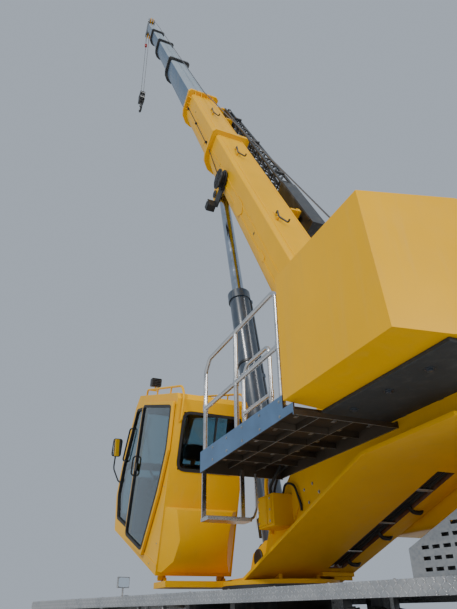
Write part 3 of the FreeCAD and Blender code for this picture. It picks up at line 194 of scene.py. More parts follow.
def disc_bar(radius, start, end, sides=24, chamfer=0.0):
    """A round bar between two points: rings of radius at its ends, closed by flat caps."""
    start, end = np.asarray(start, float), np.asarray(end, float)
    way = unit(end - start)
    side = unit(np.cross(way, (0.31, 0.17, 0.94) if abs(way[2]) < 0.9 else (1, 0, 0)))
    up = np.cross(way, side)
    a = angles(sides)[:, None]
    ring = np.cos(a) * side + np.sin(a) * up
    stops = [(start, radius - chamfer), (start + way * chamfer, radius),
             (end - way * chamfer, radius), (end, radius - chamfer)]
    if chamfer == 0:
        stops = [(start, radius), (end, radius)]
    points = np.concatenate([centre + ring * r for centre, r in stops])
    return points, [face[::-1] for face in tube_faces(len(stops), sides)]


def rounded_path(points, bend=0.05, steps=6):
    """Straight runs with each corner replaced by a quadratic curve of the bend's reach."""
    points = [np.asarray(p, float) for p in points]
    out = [points[0][None]]
    t = np.linspace(0, 1, steps + 1)[:, None]
    for before, corner, after in zip(points, points[1:], points[2:]):
        a, b = before - corner, after - corner
        reach = min(bend, 0.48 * np.linalg.norm(a), 0.48 * np.linalg.norm(b))
        first, last = corner + unit(a) * reach, corner + unit(b) * reach
        out.append((1 - t) ** 2 * first + 2 * t * (1 - t) * corner + t ** 2 * last)
    out.append(points[-1][None])
    return np.concatenate(out)


def swept(path, outline):
    """An outline of (side, up) pairs carried along a path, turned with it the shortest way."""
    path, outline = np.asarray(path, float), np.asarray(outline, float)
    ways = np.gradient(path, axis=0)
    ways /= np.linalg.norm(ways, axis=1)[:, None]
    side = unit(np.cross(ways[0], (0, 0, 1) if abs(ways[0][2]) < 0.9 else (1, 0, 0)))
    rows = []
    for point, way in zip(path, ways):
        side = unit(side - way * (side @ way))
        up = np.cross(side, way)
        rows.append(point + outline[:, :1] * side + outline[:, 1:] * up)
    return np.concatenate(rows), tube_faces(len(path), len(outline))


def closed_pipe(corners, radius, bend=0.05, sides=8):
    """A round tube along a closed loop of straight runs with rounded corners."""
    corners = [np.asarray(p, float) for p in corners]
    middle = (corners[-1] + corners[0]) / 2
    return pipe([middle, *corners, middle], radius, bend, sides)


def gusset(reach, rise, thick):
    """A three cornered plate in the plane of X and Z, its right angle at the origin."""
    return slab([(0, 0), (-reach, 0), (0, rise)], -thick / 2, thick / 2)


def circle(radius, sides=12):
    a = angles(sides)
    return np.stack((np.cos(a), np.sin(a)), 1) * radius


def pipe(points, radius, bend=0.05, sides=12):
    """A round tube along straight runs with rounded corners."""
    return swept(rounded_path(points, bend), circle(radius, sides))


def laid(outline, place, way):
    """Points of a flat outline of pairs at a place along the third axis."""
    first, second, third = outline[:, 0], outline[:, 1], np.full(len(outline), float(place))
    return np.stack({"X": (third, first, second), "Y": (first, third, second),
                     "Z": (first, second, third)}[way], 1)


def slab(outline, start, end, way="Y"):
    """A plate with a flat outline of pairs, between two places along the third axis."""
    outline = np.asarray(outline, float)
    return np.concatenate([laid(outline, place, way) for place in (start, end)]), tube_faces(2, len(outline))


def oblong(a, b, c, d):
    """The corners of an oblong from (a, b) to (c, d)."""
    return [(a, b), (c, b), (c, d), (a, d)]


def pad(low, high, radius, start, end, way="Y"):
    """An oblong plate between two corners, rounded by a radius."""
    return slab(rounded_outline(oblong(*low, *high), radius), start, end, way)


def rounded_outline(corners, radius, steps=4):
    """A closed outline with each corner cut by a quadratic curve that reaches radius back."""
    corners = np.asarray(corners, float)
    before, after = np.roll(corners, 1, 0) - corners, np.roll(corners, -1, 0) - corners
    reach = np.minimum(radius, 0.48 * np.minimum(np.linalg.norm(before, axis=1),
                                                 np.linalg.norm(after, axis=1)))[:, None]
    first = corners + before / np.linalg.norm(before, axis=1)[:, None] * reach
    last = corners + after / np.linalg.norm(after, axis=1)[:, None] * reach
    t = np.linspace(0, 1, steps + 1)[None, :, None]
    curve = ((1 - t) ** 2 * first[:, None] + 2 * t * (1 - t) * corners[:, None] + t ** 2 * last[:, None])
    return curve.reshape(-1, 2)


def rim_band(outline, width, start, end, way="Y"):
    """A frame that follows a closed outline, width wide, between two places along the third axis."""
    outline = np.asarray(outline, float)
    ways = np.roll(outline, -1, 0) - np.roll(outline, 1, 0)
    ways /= np.linalg.norm(ways, axis=1)[:, None]
    out = np.stack((ways[:, 1], -ways[:, 0]), 1)
    inner, outer = outline - out * width / 2, outline + out * width / 2
    rings = [(inner, start), (outer, start), (outer, end), (inner, end)]
    points = np.stack([laid(ring, place, way) for ring, place in rings], 1).reshape(-1, 3)
    return points, grid_faces(len(outline), 4, True, True)


def bolt_head(radius, height):
    """A six sided head with a washer under it, standing on z = 0."""
    washer = turned([(0.0001, 0), (radius * 1.5, 0), (radius * 1.5, height * 0.25),
                     (0.0001, height * 0.25)], 14)
    head = turned([(0.0001, height * 0.2), (radius, height * 0.2), (radius, height * 0.85),
                   (radius * 0.8, height), (0.0001, height)], 6)
    return joined(washer, head)


def piece(name, shape, body, slot, finish=None, soften=0.0, angle=35.0, where=None, replaces=()):
    """Makes a shape, or a list of shapes as one, an object that rides on a body, with soft edges and
    its finish. It stands in the body's own frame where no other is given."""
    shape = joined(*shape) if isinstance(shape, list) else shape
    points, faces = placed(shape, HOMES[body] if where is None else where)
    mesh = bpy.data.meshes.new(name)
    mesh.from_pydata(points.tolist(), [], faces)
    built = bmesh.new()
    built.from_mesh(mesh)
    bmesh.ops.remove_doubles(built, verts=built.verts, dist=1e-6)
    bmesh.ops.recalc_face_normals(built, faces=built.faces)
    built.to_mesh(mesh)
    built.free()
    return finished(mesh, name, body, finish or slot, soften, angle, replaces)


def finished(mesh, name, body, finish, soften, angle, replaces):
    mesh.polygons.foreach_set("use_smooth", [True] * len(mesh.polygons))
    mesh.set_sharp_from_angle(angle=math.radians(angle))
    thing = bpy.data.objects.new(name, mesh)
    bpy.context.scene.collection.objects.link(thing)
    mesh.materials.append(finish_of(finish))
    if soften:
        edges = thing.modifiers.new("Edges", "BEVEL")
        edges.width, edges.segments = soften, 2
        edges.limit_method, edges.angle_limit = "ANGLE", math.radians(28)
        edges.harden_normals = False
        edges.use_clamp_overlap = True
    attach(thing, body)
    if replaces:
        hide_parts(*replaces)
    return thing


def softened_copy(node, width, finish=None, angle=35.0, where=None, others=()):
    """A node's own form with its edges rounded, which stands for the node. others holds pairs of a
    finish and a test over the faces' middles and normals in the frame where."""
    source = NODES[node]
    built = bmesh.new()
    built.from_mesh(source.data)
    bmesh.ops.remove_doubles(built, verts=built.verts, dist=2e-5)
    bmesh.ops.dissolve_limit(built, angle_limit=math.radians(0.6), verts=built.verts, edges=built.edges)
    mesh = bpy.data.meshes.new(node + "_body")
    built.to_mesh(mesh)
    built.free()
    slot = next(row["material_slot"] for row in frame["record"]["subparts"] if row["node"] == node)
    thing = finished(mesh, node + "_body", source["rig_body"], finish or slot, width, angle, (node,))
    if others:
        middles, normals = np.empty(len(mesh.polygons) * 3), np.empty(len(mesh.polygons) * 3)
        mesh.polygons.foreach_get("center", middles)
        mesh.polygons.foreach_get("normal", normals)
        turn = where[:3, :3]
        middles = (middles.reshape(-1, 3) - where[:3, 3]) @ turn
        normals = normals.reshape(-1, 3) @ turn
        index = np.zeros(len(mesh.polygons), int)
        for number, (other, test) in enumerate(others, start=1):
            mesh.materials.append(finish_of(other))
            index[test(middles, normals)] = number
        mesh.polygons.foreach_set("material_index", index)
    return thing


# Shader node groups: effects that several finishes share

def linked(tree, source, target):
    tree.links.new(source, target)


def new_group(name, inputs, outputs):
    """A shader node group with its sockets, given as (name, kind, default)."""
    tree = bpy.data.node_groups.new(name, "ShaderNodeTree")
    kinds = {"value": "NodeSocketFloat", "colour": "NodeSocketColor", "vector": "NodeSocketVector"}
    for label, kind, default in inputs:
        socket = tree.interface.new_socket(name=label, in_out="INPUT", socket_type=kinds[kind])
        if kind != "vector":
            socket.default_value = default
    for label, kind in outputs:
        tree.interface.new_socket(name=label, in_out="OUTPUT", socket_type=kinds[kind])
    start, end = tree.nodes.new("NodeGroupInput"), tree.nodes.new("NodeGroupOutput")
    return tree, start.outputs, end.inputs


def noise(tree, vector, scale, detail=4.0, roughness=0.55, stretch=None):
    """A noise value over Object coordinates, drawn out along the axes by stretch."""
    if stretch:
        mapping = tree.nodes.new("ShaderNodeMapping")
        mapping.inputs["Scale"].default_value = stretch
        linked(tree, vector, mapping.inputs["Vector"])
        vector = mapping.outputs["Vector"]
    node = tree.nodes.new("ShaderNodeTexNoise")
    node.inputs["Detail"].default_value = detail
    node.inputs["Roughness"].default_value = roughness
    if isinstance(scale, (int, float)):
        node.inputs["Scale"].default_value = scale
    else:
        linked(tree, scale, node.inputs["Scale"])
    linked(tree, vector, node.inputs["Vector"])
    return node.outputs["Fac"]


def spread(tree, value, low, high, to_low=0.0, to_high=1.0):
    node = tree.nodes.new("ShaderNodeMapRange")
    node.inputs["From Min"].default_value = low
    node.inputs["From Max"].default_value = high
    node.inputs["To Min"].default_value = to_low
    node.inputs["To Max"].default_value = to_high
    linked(tree, value, node.inputs["Value"])
    return node.outputs["Result"]


def maths(tree, operation, first, second=None):
    node = tree.nodes.new("ShaderNodeMath")
    node.operation = operation
    for index, value in enumerate((first, second)):
        if value is None:
            continue
        if isinstance(value, (int, float)):
            node.inputs[index].default_value = value
        else:
            linked(tree, value, node.inputs[index])
    return node.outputs[0]


def mixed(tree, share, first, second, blend="MIX"):
    """Two colours mixed by a share."""
    node = tree.nodes.new("ShaderNodeMix")
    node.data_type, node.blend_type = "RGBA", blend
    for socket, value in ((node.inputs[0], share), (node.inputs[6], first), (node.inputs[7], second)):
        if isinstance(value, (int, float)):
            socket.default_value = value
        elif isinstance(value, (tuple, list)):
            socket.default_value = (*value[:3], 1.0)
        else:
            linked(tree, value, socket)
    return node.outputs[2]


def object_place(tree):
    return tree.nodes.new("ShaderNodeTexCoord").outputs["Object"]


def weathered_paint_group():
    """Sprayed paint outdoors: slow changes of shade, streaks that run down, dust in patches spread by
    noise, and fine orange peel for the bump."""
    tree, start, end = new_group(
        "Weathered paint",
        [("Color", "colour", (0.8, 0.5, 0.0, 1)), ("Dust Color", "colour", (0.36, 0.33, 0.28, 1)),
         ("Roughness", "value", 0.35), ("Dust", "value", 0.3), ("Streaks", "value", 0.3)],
        [("Color", "colour"), ("Roughness", "value"), ("Height", "value")])
    place = object_place(tree)
    slow = noise(tree, place, 0.9, 3.0)
    blotch = noise(tree, place, 7.0, 6.0, 0.62)
    streak = noise(tree, place, 2.2, 5.0, 0.6, (6.0, 6.0, 0.35))
    grain = noise(tree, place, 160.0, 2.0)
    shade = spread(tree, slow, 0.3, 0.7, 0.93, 1.05)
    colour = mixed(tree, 1.0, start["Color"], maths(tree, "MULTIPLY", shade, 1.0), "MULTIPLY")
    runs = maths(tree, "MULTIPLY", spread(tree, streak, 0.52, 0.8), start["Streaks"])
    dirt = maths(tree, "MULTIPLY", spread(tree, blotch, 0.5, 0.85), start["Dust"])
    amount = maths(tree, "MINIMUM", maths(tree, "ADD", runs, dirt), 0.75)
    linked(tree, mixed(tree, amount, colour, start["Dust Color"]), end["Color"])
    rough = maths(tree, "ADD", start["Roughness"], maths(tree, "MULTIPLY", amount, 0.45))
    rough = maths(tree, "ADD", rough, spread(tree, blotch, 0.3, 0.7, -0.04, 0.05))
    linked(tree, rough, end["Roughness"])
    linked(tree, maths(tree, "ADD", maths(tree, "MULTIPLY", grain, 0.35), slow), end["Height"])
    return tree


def worn_metal_group():
    """Bare or zinc coated metal: crystal patches, rolling lines and fine scratches."""
    tree, start, end = new_group(
        "Worn metal",
        [("Color", "colour", (0.6, 0.6, 0.6, 1)), ("Roughness", "value", 0.35), ("Patches", "value", 0.4),
         ("Lines", "value", 0.3)],
        [("Color", "colour"), ("Roughness", "value"), ("Height", "value")])
    place = object_place(tree)
    cells = tree.nodes.new("ShaderNodeTexVoronoi")
    cells.inputs["Scale"].default_value = 55.0
    linked(tree, place, cells.inputs["Vector"])
    patch = maths(tree, "MULTIPLY", spread(tree, cells.outputs["Distance"], 0.0, 0.9, -0.5, 0.5),
                  start["Patches"])
    cloud = noise(tree, place, 5.0, 6.0, 0.6)
    lines = noise(tree, place, 30.0, 3.0, 0.5, (1.0, 1.0, 14.0))
    tone = maths(tree, "ADD", spread(tree, cloud, 0.3, 0.7, 0.84, 1.06), maths(tree, "MULTIPLY", patch, 0.25))
    linked(tree, mixed(tree, 1.0, start["Color"], tone, "MULTIPLY"), end["Color"])
    rough = maths(tree, "ADD", start["Roughness"], maths(tree, "MULTIPLY", patch, 0.3))
    rough = maths(tree, "ADD", rough, spread(tree, cloud, 0.35, 0.75, -0.05, 0.16))
    linked(tree, rough, end["Roughness"])
    linked(tree, maths(tree, "ADD", maths(tree, "MULTIPLY", lines, start["Lines"]), cloud), end["Height"])
    return tree


def chequer_group():
    """Raised lozenges of tread plate: bars of one direction on the even cells of a square grid and
    of the other direction on the odd cells, each a stretched dome."""
    tree, start, end = new_group("Chequer plate", [("Vector", "vector", None), ("Pitch", "value", 0.03)],
                                 [("Height", "value"), ("Top", "value")])
    divide = tree.nodes.new("ShaderNodeVectorMath")
    divide.operation = "DIVIDE"
    linked(tree, start["Vector"], divide.inputs[0])
    pack = tree.nodes.new("ShaderNodeCombineXYZ")
    for socket in pack.inputs:
        linked(tree, start["Pitch"], socket)
    linked(tree, pack.outputs[0], divide.inputs[1])
    parts = tree.nodes.new("ShaderNodeSeparateXYZ")
    linked(tree, divide.outputs[0], parts.inputs[0])
    x, y = parts.outputs[0], parts.outputs[1]
    parity = maths(tree, "PINGPONG", maths(tree, "ADD", maths(tree, "FLOOR", x), maths(tree, "FLOOR", y)), 1.0)
    local_x = maths(tree, "SUBTRACT", maths(tree, "FRACT", x), 0.5)
    local_y = maths(tree, "SUBTRACT", maths(tree, "FRACT", y), 0.5)
    along = maths(tree, "ADD", local_x, local_y)
    across = maths(tree, "SUBTRACT", local_x, local_y)

    def dome(long_way, short_way):
        first = maths(tree, "POWER", maths(tree, "ABSOLUTE", maths(tree, "MULTIPLY", long_way, 1.25)), 2.0)
        second = maths(tree, "POWER", maths(tree, "ABSOLUTE", maths(tree, "MULTIPLY", short_way, 4.6)), 2.0)
        return spread(tree, maths(tree, "ADD", first, second), 0.55, 1.0, 1.0, 0.0)

    odd = maths(tree, "MULTIPLY", dome(along, across), parity)
    even = maths(tree, "MULTIPLY", dome(across, along), maths(tree, "SUBTRACT", 1.0, parity))
    height = maths(tree, "ADD", odd, even)
    linked(tree, height, end["Height"])
    linked(tree, height, end["Top"])
    return tree


def rubber_group():
    """Rubber that has been outdoors: fine grain and a grey bloom of dust in patches."""
    tree, start, end = new_group(
        "Rubber",
        [("Color", "colour", (0.02, 0.02, 0.02, 1)), ("Dust", "value", 0.4)],
        [("Color", "colour"), ("Roughness", "value"), ("Height", "value")])
    place = object_place(tree)
    cloud = noise(tree, place, 4.0, 6.0, 0.65)
    grain = noise(tree, place, 220.0, 3.0)
    dust = maths(tree, "MULTIPLY", spread(tree, cloud, 0.42, 0.75), start["Dust"])
    linked(tree, mixed(tree, dust, start["Color"], (0.20, 0.18, 0.155)), end["Color"])
    linked(tree, maths(tree, "ADD", spread(tree, grain, 0.3, 0.7, 0.55, 0.72), maths(tree, "MULTIPLY", dust, 0.2)),
           end["Roughness"])
    linked(tree, grain, end["Height"])
    return tree


GROUPS = {}
FINISHES = {}


def group_of(maker):
    if maker.__name__ not in GROUPS:
        GROUPS[maker.__name__] = maker()
    return GROUPS[maker.__name__]


def material(name, metallic=0.0):
    """A new material with its node tree and its Principled shader."""
    made = bpy.data.materials.new(name)
    made.use_nodes = True
    tree = made.node_tree
    shader = tree.nodes["Principled BSDF"]
    shader.inputs["Metallic"].default_value = metallic
    return made, tree, shader


def placed_group(tree, maker, **values):
    node = tree.nodes.new("ShaderNodeGroup")
    node.node_tree = group_of(maker)
    for label, value in values.items():
        socket = node.inputs[label.replace("_", " ")]
        socket.default_value = (*value, 1.0) if isinstance(value, (tuple, list)) and len(value) == 3 else value
    return node


def surface(tree, shader, colour, roughness):
    linked(tree, colour, shader.inputs["Base Color"])
    linked(tree, roughness, shader.inputs["Roughness"])


def add_bump(tree, shader, height, strength, distance):
    bump = tree.nodes.new("ShaderNodeBump")
    bump.inputs["Strength"].default_value = strength
    bump.inputs["Distance"].default_value = distance
    linked(tree, height, bump.inputs["Height"])
    linked(tree, bump.outputs["Normal"], shader.inputs["Normal"])


def paint(name, colour, roughness=0.35, dust=0.25, streaks=0.25, coat=0.35, shine=0.5):
    made, tree, shader = material(name)
    group = placed_group(tree, weathered_paint_group, Color=colour, Roughness=roughness, Dust=dust,
                         Streaks=streaks)
    surface(tree, shader, group.outputs["Color"], group.outputs["Roughness"])
    shader.inputs["Coat Weight"].default_value = coat
    shader.inputs["Coat Roughness"].default_value = 0.12
    shader.inputs["Specular IOR Level"].default_value = shine
    add_bump(tree, shader, group.outputs["Height"], 0.12, 0.002)
    return made


def metal(name, colour, roughness=0.35, patches=0.4, lines=0.3, strength=0.15):
    made, tree, shader = material(name, 1.0)
    group = placed_group(tree, worn_metal_group, Color=colour, Roughness=roughness, Patches=patches,
                         Lines=lines)
    surface(tree, shader, group.outputs["Color"], group.outputs["Roughness"])
    add_bump(tree, shader, group.outputs["Height"], strength, 0.001)
    return made


def tread_plate(name, colour, turn=(0, 0, 0)):
    """Aluminium tread plate. turn lays the pattern on an upright face."""
    made, tree, shader = material(name, 1.0)
    group = placed_group(tree, worn_metal_group, Color=colour, Roughness=0.42, Patches=0.3, Lines=0.2)
    mapping = tree.nodes.new("ShaderNodeMapping")
    mapping.inputs["Rotation"].default_value = tuple(math.radians(a) for a in turn)
    linked(tree, object_place(tree), mapping.inputs["Vector"])
    chequer = placed_group(tree, chequer_group, Pitch=0.034)
    linked(tree, mapping.outputs["Vector"], chequer.inputs["Vector"])
    worn = mixed(tree, maths(tree, "MULTIPLY", chequer.outputs["Top"], 0.55), group.outputs["Color"],
                 tuple(min(1.0, c * 1.5) for c in colour))
    linked(tree, worn, shader.inputs["Base Color"])
    linked(tree, maths(tree, "SUBTRACT", group.outputs["Roughness"],
                       maths(tree, "MULTIPLY", chequer.outputs["Top"], 0.14)), shader.inputs["Roughness"])
    add_bump(tree, shader, chequer.outputs["Height"], 0.9, 0.004)
    return made


def rubber(name, colour=(0.018, 0.018, 0.019), dust=0.35):
    made, tree, shader = material(name)
    group = placed_group(tree, rubber_group, Color=colour, Dust=dust)
    surface(tree, shader, group.outputs["Color"], group.outputs["Roughness"])
    add_bump(tree, shader, group.outputs["Height"], 0.25, 0.0008)
    return made


def plastic(name, colour, roughness=0.5):
    made, tree, shader = material(name)
    place = object_place(tree)
    grain = noise(tree, place, 420.0, 2.0)
    cloud = noise(tree, place, 6.0, 4.0)
    pale = tuple(min(1.0, c * 1.6 + 0.015) for c in colour)
    linked(tree, mixed(tree, spread(tree, cloud, 0.45, 0.8, 0.0, 0.5), colour, pale),
           shader.inputs["Base Color"])
    linked(tree, spread(tree, cloud, 0.3, 0.7, roughness - 0.08, roughness + 0.1), shader.inputs["Roughness"])
    add_bump(tree, shader, grain, 0.2, 0.0005)
    return made


def pane(name, colour, roughness=0.03):
    """Tinted glass with faint dust where noise gathers it."""
    made, tree, shader = material(name)
    shader.inputs["Transmission Weight"].default_value = 1.0
    shader.inputs["IOR"].default_value = 1.45
    cloud = noise(tree, object_place(tree), 3.0, 5.0)
    linked(tree, mixed(tree, spread(tree, cloud, 0.5, 0.9, 0.0, 0.25), colour, (0.55, 0.56, 0.55)),
           shader.inputs["Base Color"])
    linked(tree, spread(tree, cloud, 0.55, 0.9, roughness, roughness + 0.12), shader.inputs["Roughness"])
    return made


def wire_rope(name):
    """Stranded steel rope: slanted waves over Object coordinates, dark with grease between."""
    made, tree, shader = material(name, 0.85)
    wave = tree.nodes.new("ShaderNodeTexWave")
    wave.wave_type, wave.bands_direction = "BANDS", "DIAGONAL"
    wave.inputs["Scale"].default_value = 18.0
    linked(tree, object_place(tree), wave.inputs["Vector"])
    linked(tree, mixed(tree, wave.outputs["Fac"], (0.05, 0.048, 0.045), (0.30, 0.30, 0.31)),
           shader.inputs["Base Color"])
    linked(tree, spread(tree, wave.outputs["Fac"], 0.0, 1.0, 0.6, 0.35), shader.inputs["Roughness"])
    add_bump(tree, shader, wave.outputs["Fac"], 0.6, 0.002)
    return made


def cloth(name, colour):
    """Woven seat cloth: two crossed sets of waves, with worn paler patches."""
    made, tree, shader = material(name)
    place = object_place(tree)
    bands = []
    for way in ("X", "Y", "Z"):
        wave = tree.nodes.new("ShaderNodeTexWave")
        wave.bands_direction = way
        wave.inputs["Scale"].default_value = 160.0
        linked(tree, place, wave.inputs["Vector"])
        bands.append(wave.outputs["Fac"])
    weave = maths(tree, "MULTIPLY", maths(tree, "ADD", bands[0], bands[1]), bands[2])
    cloud = noise(tree, place, 9.0, 4.0)
    linked(tree, mixed(tree, spread(tree, cloud, 0.4, 0.8, 0.0, 0.5), colour,
                       tuple(c * 1.9 for c in colour)), shader.inputs["Base Color"])
    linked(tree, spread(tree, weave, 0.0, 2.0, 0.95, 0.8), shader.inputs["Roughness"])
    shader.inputs["Sheen Weight"].default_value = 0.4
    add_bump(tree, shader, weave, 0.4, 0.001)
    return made


def lamp_glass(name, colour, glow=0.0):
    """Moulded lens: fine ribs in the bump over a clear tint."""
    made, tree, shader = material(name)
    place = object_place(tree)
    wave = tree.nodes.new("ShaderNodeTexWave")
    wave.bands_direction = "Z"
    wave.inputs["Scale"].default_value = 40.0
    linked(tree, place, wave.inputs["Vector"])
    linked(tree, mixed(tree, maths(tree, "MULTIPLY", wave.outputs["Fac"], 0.25), colour,
                       tuple(c * 0.6 for c in colour)), shader.inputs["Base Color"])
    shader.inputs["Roughness"].default_value = 0.12
    shader.inputs["Coat Weight"].default_value = 0.8
    add_bump(tree, shader, wave.outputs["Fac"], 0.3, 0.001)
    return made


def mirror_face(name):
    made, tree, shader = material(name, 1.0)
    cloud = noise(tree, object_place(tree), 30.0, 3.0)
    linked(tree, mixed(tree, cloud, (0.75, 0.8, 0.84), (0.82, 0.86, 0.9)), shader.inputs["Base Color"])
    linked(tree, spread(tree, cloud, 0.4, 0.8, 0.02, 0.07), shader.inputs["Roughness"])
    return made


def finish_makers():
    """The maker of each finish by name, with its values and the colours that the sidebar holds."""
    colours = bpy.context.scene.crane_colours
    yellow, grey, dark = (tuple(c) for c in (colours.yellow, colours.boom_grey, colours.dark_steel))
    return {
        "crane_yellow": (paint, "Crane yellow", yellow, 0.40, 0.06, 0.10, 0.04, 0.16),
        "boom_grey": (paint, "Boom grey", grey, 0.34, 0.10, 0.40, 0.10, 0.3),
        # boom_top_painted_light: a paler grey for the upward faces of the boom sections, painted light where the
        # sky falls on their tops
        "boom_top_painted_light": (paint, "Boom grey with painted light on top", (0.27, 0.33, 0.39), 0.34, 0.2, 0.5, 0.1, 0.3),
        "barrel_paint": (paint, "Barrel grey", (0.035, 0.055, 0.085), 0.32, 0.12, 0.2, 0.4),
        "primer": (paint, "Red brown primer", (0.16, 0.055, 0.02), 0.6, 0.3, 0.3, 0.0),
        "lining": (plastic, "Cab lining", (0.022, 0.023, 0.025), 0.6),
        "guard_metal": (metal, "Galvanised guard", (0.36, 0.37, 0.38), 0.5, 0.9, 0.2, 0.35),
        "hose": (rubber, "Hydraulic hose", (0.012, 0.012, 0.012), 0.15),
        "lamp_red": (plastic, "Red plastic", (0.35, 0.02, 0.015), 0.4),
        "frame_dark": (paint, "Frame dark grey", (0.045, 0.048, 0.052), 0.45, 0.35, 0.3, 0.1),
        "dark_steel": (paint, "Dark blue grey", dark, 0.36, 0.15, 0.2, 0.25),
        "black_paint": (paint, "Black paint", (0.012, 0.013, 0.015), 0.4, 0.2, 0.2, 0.2),
        # The counterweight's floor is near black: partly its own dark paint, partly painted shade that darkens the
        # underside
        "weight_belly_dark_and_painted_shade": (paint, "Counterweight belly dark paint and painted shade", (0.045, 0.048, 0.050), 0.6, 0.10, 0.1, 0.0, 0.2),
        "deck_plate": (tread_plate, "Tread plate", (0.46, 0.46, 0.46)),
        "edge_plate": (tread_plate, "Tread plate edge", (0.50, 0.50, 0.50), (90, 0, 0)),
        "end_plate": (tread_plate, "Tread plate end", (0.50, 0.50, 0.50), (0, 90, 0)),
        # The walkway's aluminium is tinted blue in its base colour: a painted reflection of the sky on plain
        # aluminium
        "platform_alloy": (metal, "Brushed aluminium with painted sky reflection", (0.22, 0.35, 0.53), 0.42, 0.3, 0.4),
        # The walkway's lower and side faces take a dark brown copy of its aluminium: painted shade
        "platform_under_painted_shade": (metal, "Dull aluminium painted shade", (0.13, 0.105, 0.08), 0.6, 0.4, 0.3),
        "rail_tube": (metal, "Polished tube", (0.66, 0.66, 0.66), 0.25, 0.25, 0.3),
        "tyre": (rubber, "Tyre rubber"),
        "seal": (rubber, "Window seal", (0.012, 0.012, 0.013), 0.12),
        "cast": (metal, "Cast iron", (0.10, 0.10, 0.10), 0.62, 0.6, 0.2, 0.5),
        "bolt": (metal, "Zinc bolts", (0.50, 0.49, 0.46), 0.35, 0.3, 0.3),
        "chrome_rod": (metal, "Chrome rod", (0.42, 0.47, 0.54), 0.10, 0.25, 0.6, 0.03),
        "glass": (pane, "Cab glass", (0.30, 0.46, 0.52)),
        "black_plastic": (plastic, "Black plastic", (0.014, 0.014, 0.015)),
        "grey_plastic": (plastic, "Grey plastic", (0.10, 0.105, 0.11), 0.55),
        "steel_rope": (wire_rope, "Wire rope"),
        "seat_fabric": (cloth, "Seat cloth", (0.022, 0.023, 0.026)),
        "lamp_body": (plastic, "Lamp body", (0.02, 0.02, 0.021), 0.4),
        "lens_clear": (lamp_glass, "Clear lens", (0.75, 0.77, 0.78)),
        "lens_red": (lamp_glass, "Red lens", (0.50, 0.015, 0.012)),
        "lens_amber": (lamp_glass, "Amber lens", (0.85, 0.26, 0.01)),
        "mirror": (mirror_face, "Mirror"),
    }


def finish_of(name):
    if name not in FINISHES:
        maker, *values = finish_makers()[name]
        FINISHES[name] = maker(*values)
    return FINISHES[name]


# Sizes and colours that a user would change

class CraneColours(bpy.types.PropertyGroup):
    """Base colours of the crane's paints."""
    yellow: bpy.props.FloatVectorProperty(
        name="Crane yellow", description="Paint of the boom's base, cab and counterweight",
        subtype="COLOR", size=3, min=0.0, max=1.0, default=(0.84, 0.44, 0.0))
    boom_grey: bpy.props.FloatVectorProperty(
        name="Boom grey", description="Paint of the boom sections that run out",
        subtype="COLOR", size=3, min=0.0, max=1.0, default=(0.10, 0.155, 0.235))
    dark_steel: bpy.props.FloatVectorProperty(
        name="Dark steel", description="Paint of the lift cylinder, jib and hook block",
        subtype="COLOR", size=3, min=0.0, max=1.0, default=(0.035, 0.045, 0.058))


class CraneSizes(bpy.types.PropertyGroup):
    """Sizes of the fittings, in metres."""
    edge: bpy.props.FloatProperty(
        name="Plate edge", description="Rounding of folded and welded plate edges",
        unit="LENGTH", min=0.0, max=0.02, default=0.006)
    seal: bpy.props.FloatProperty(
        name="Window seal", description="Width of the rubber round each window",
        unit="LENGTH", min=0.01, max=0.08, default=0.034)
    lug_height: bpy.props.FloatProperty(
        name="Tread depth", description="Height of the tyre's lugs",
        unit="LENGTH", min=0.005, max=0.05, default=0.030)
    lug_count: bpy.props.IntProperty(
        name="Tread lugs", description="Lugs round one shoulder of a tyre", min=8, max=40, default=20)
    bolt: bpy.props.FloatProperty(
        name="Bolt head", description="Radius of an ordinary bolt head",
        unit="LENGTH", min=0.005, max=0.03, default=0.013)
    rope: bpy.props.FloatProperty(
        name="Hoist rope", description="Radius of the hoist rope",
        unit="LENGTH", min=0.005, max=0.02, default=0.011)


class CraneStudio(bpy.types.PropertyGroup):
    """Where the camera stands, seen from the slew axis with the upper part's nose ahead."""
    camera_place: bpy.props.FloatVectorProperty(
        name="Camera place", description="Ahead, left and above the ground, in metres",
        subtype="TRANSLATION", unit="LENGTH", size=3, default=(-5.663, 3.028, 1.44))
    camera_turn: bpy.props.FloatProperty(
        name="Camera turn", description="Clockwise from the upper part's nose",
        subtype="ANGLE", default=math.radians(23.552))
    camera_pitch: bpy.props.FloatProperty(
        name="Camera pitch", description="Above level", subtype="ANGLE", default=math.radians(30.128))
    camera_roll: bpy.props.FloatProperty(
        name="Camera roll", description="About the line of sight", subtype="ANGLE",
        default=math.radians(-0.8))
    reach: bpy.props.FloatProperty(
        name="Lens reach", description="Focal length over the picture's height", min=0.3, max=3.0,
        default=533.656 / 609)
    floor: bpy.props.FloatProperty(
        name="Floor", description="Side of the studio floor", unit="LENGTH", min=20.0, max=400.0,
        default=160.0)


def sizes():
    return bpy.context.scene.crane_sizes


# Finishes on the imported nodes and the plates' soft edges

SECTION_EDGES = (10.5, 15.5, 19.8, 23.1, 26.25)
COLLAR = 0.085
COLLAR_LONG = 0.13
SOFT_COPIES = ("boom_base", "door_frame", "counterweight", "counterweight_floor", "cooler_housing",
    "junction_box", "engine_hood", "boom_head", "lift_barrel", "carrier_frame", "tanks", "carrier_steps",
    "handrails")
# counterweight_floor takes the near black belly finish, which is partly painted shade under the counterweight
OTHER_FINISH = {"counterweight_floor": "weight_belly_dark_and_painted_shade", "boom_head": "black_paint", "jib": "black_paint",
    "hook_block": "black_paint", "exhaust_guard": "guard_metal", "lift_barrel": "barrel_paint"}


def section_half(index):
    """Half width and half height of a boom section."""
    return 0.3 - 0.035 * index, 0.352 - 0.0357 * index


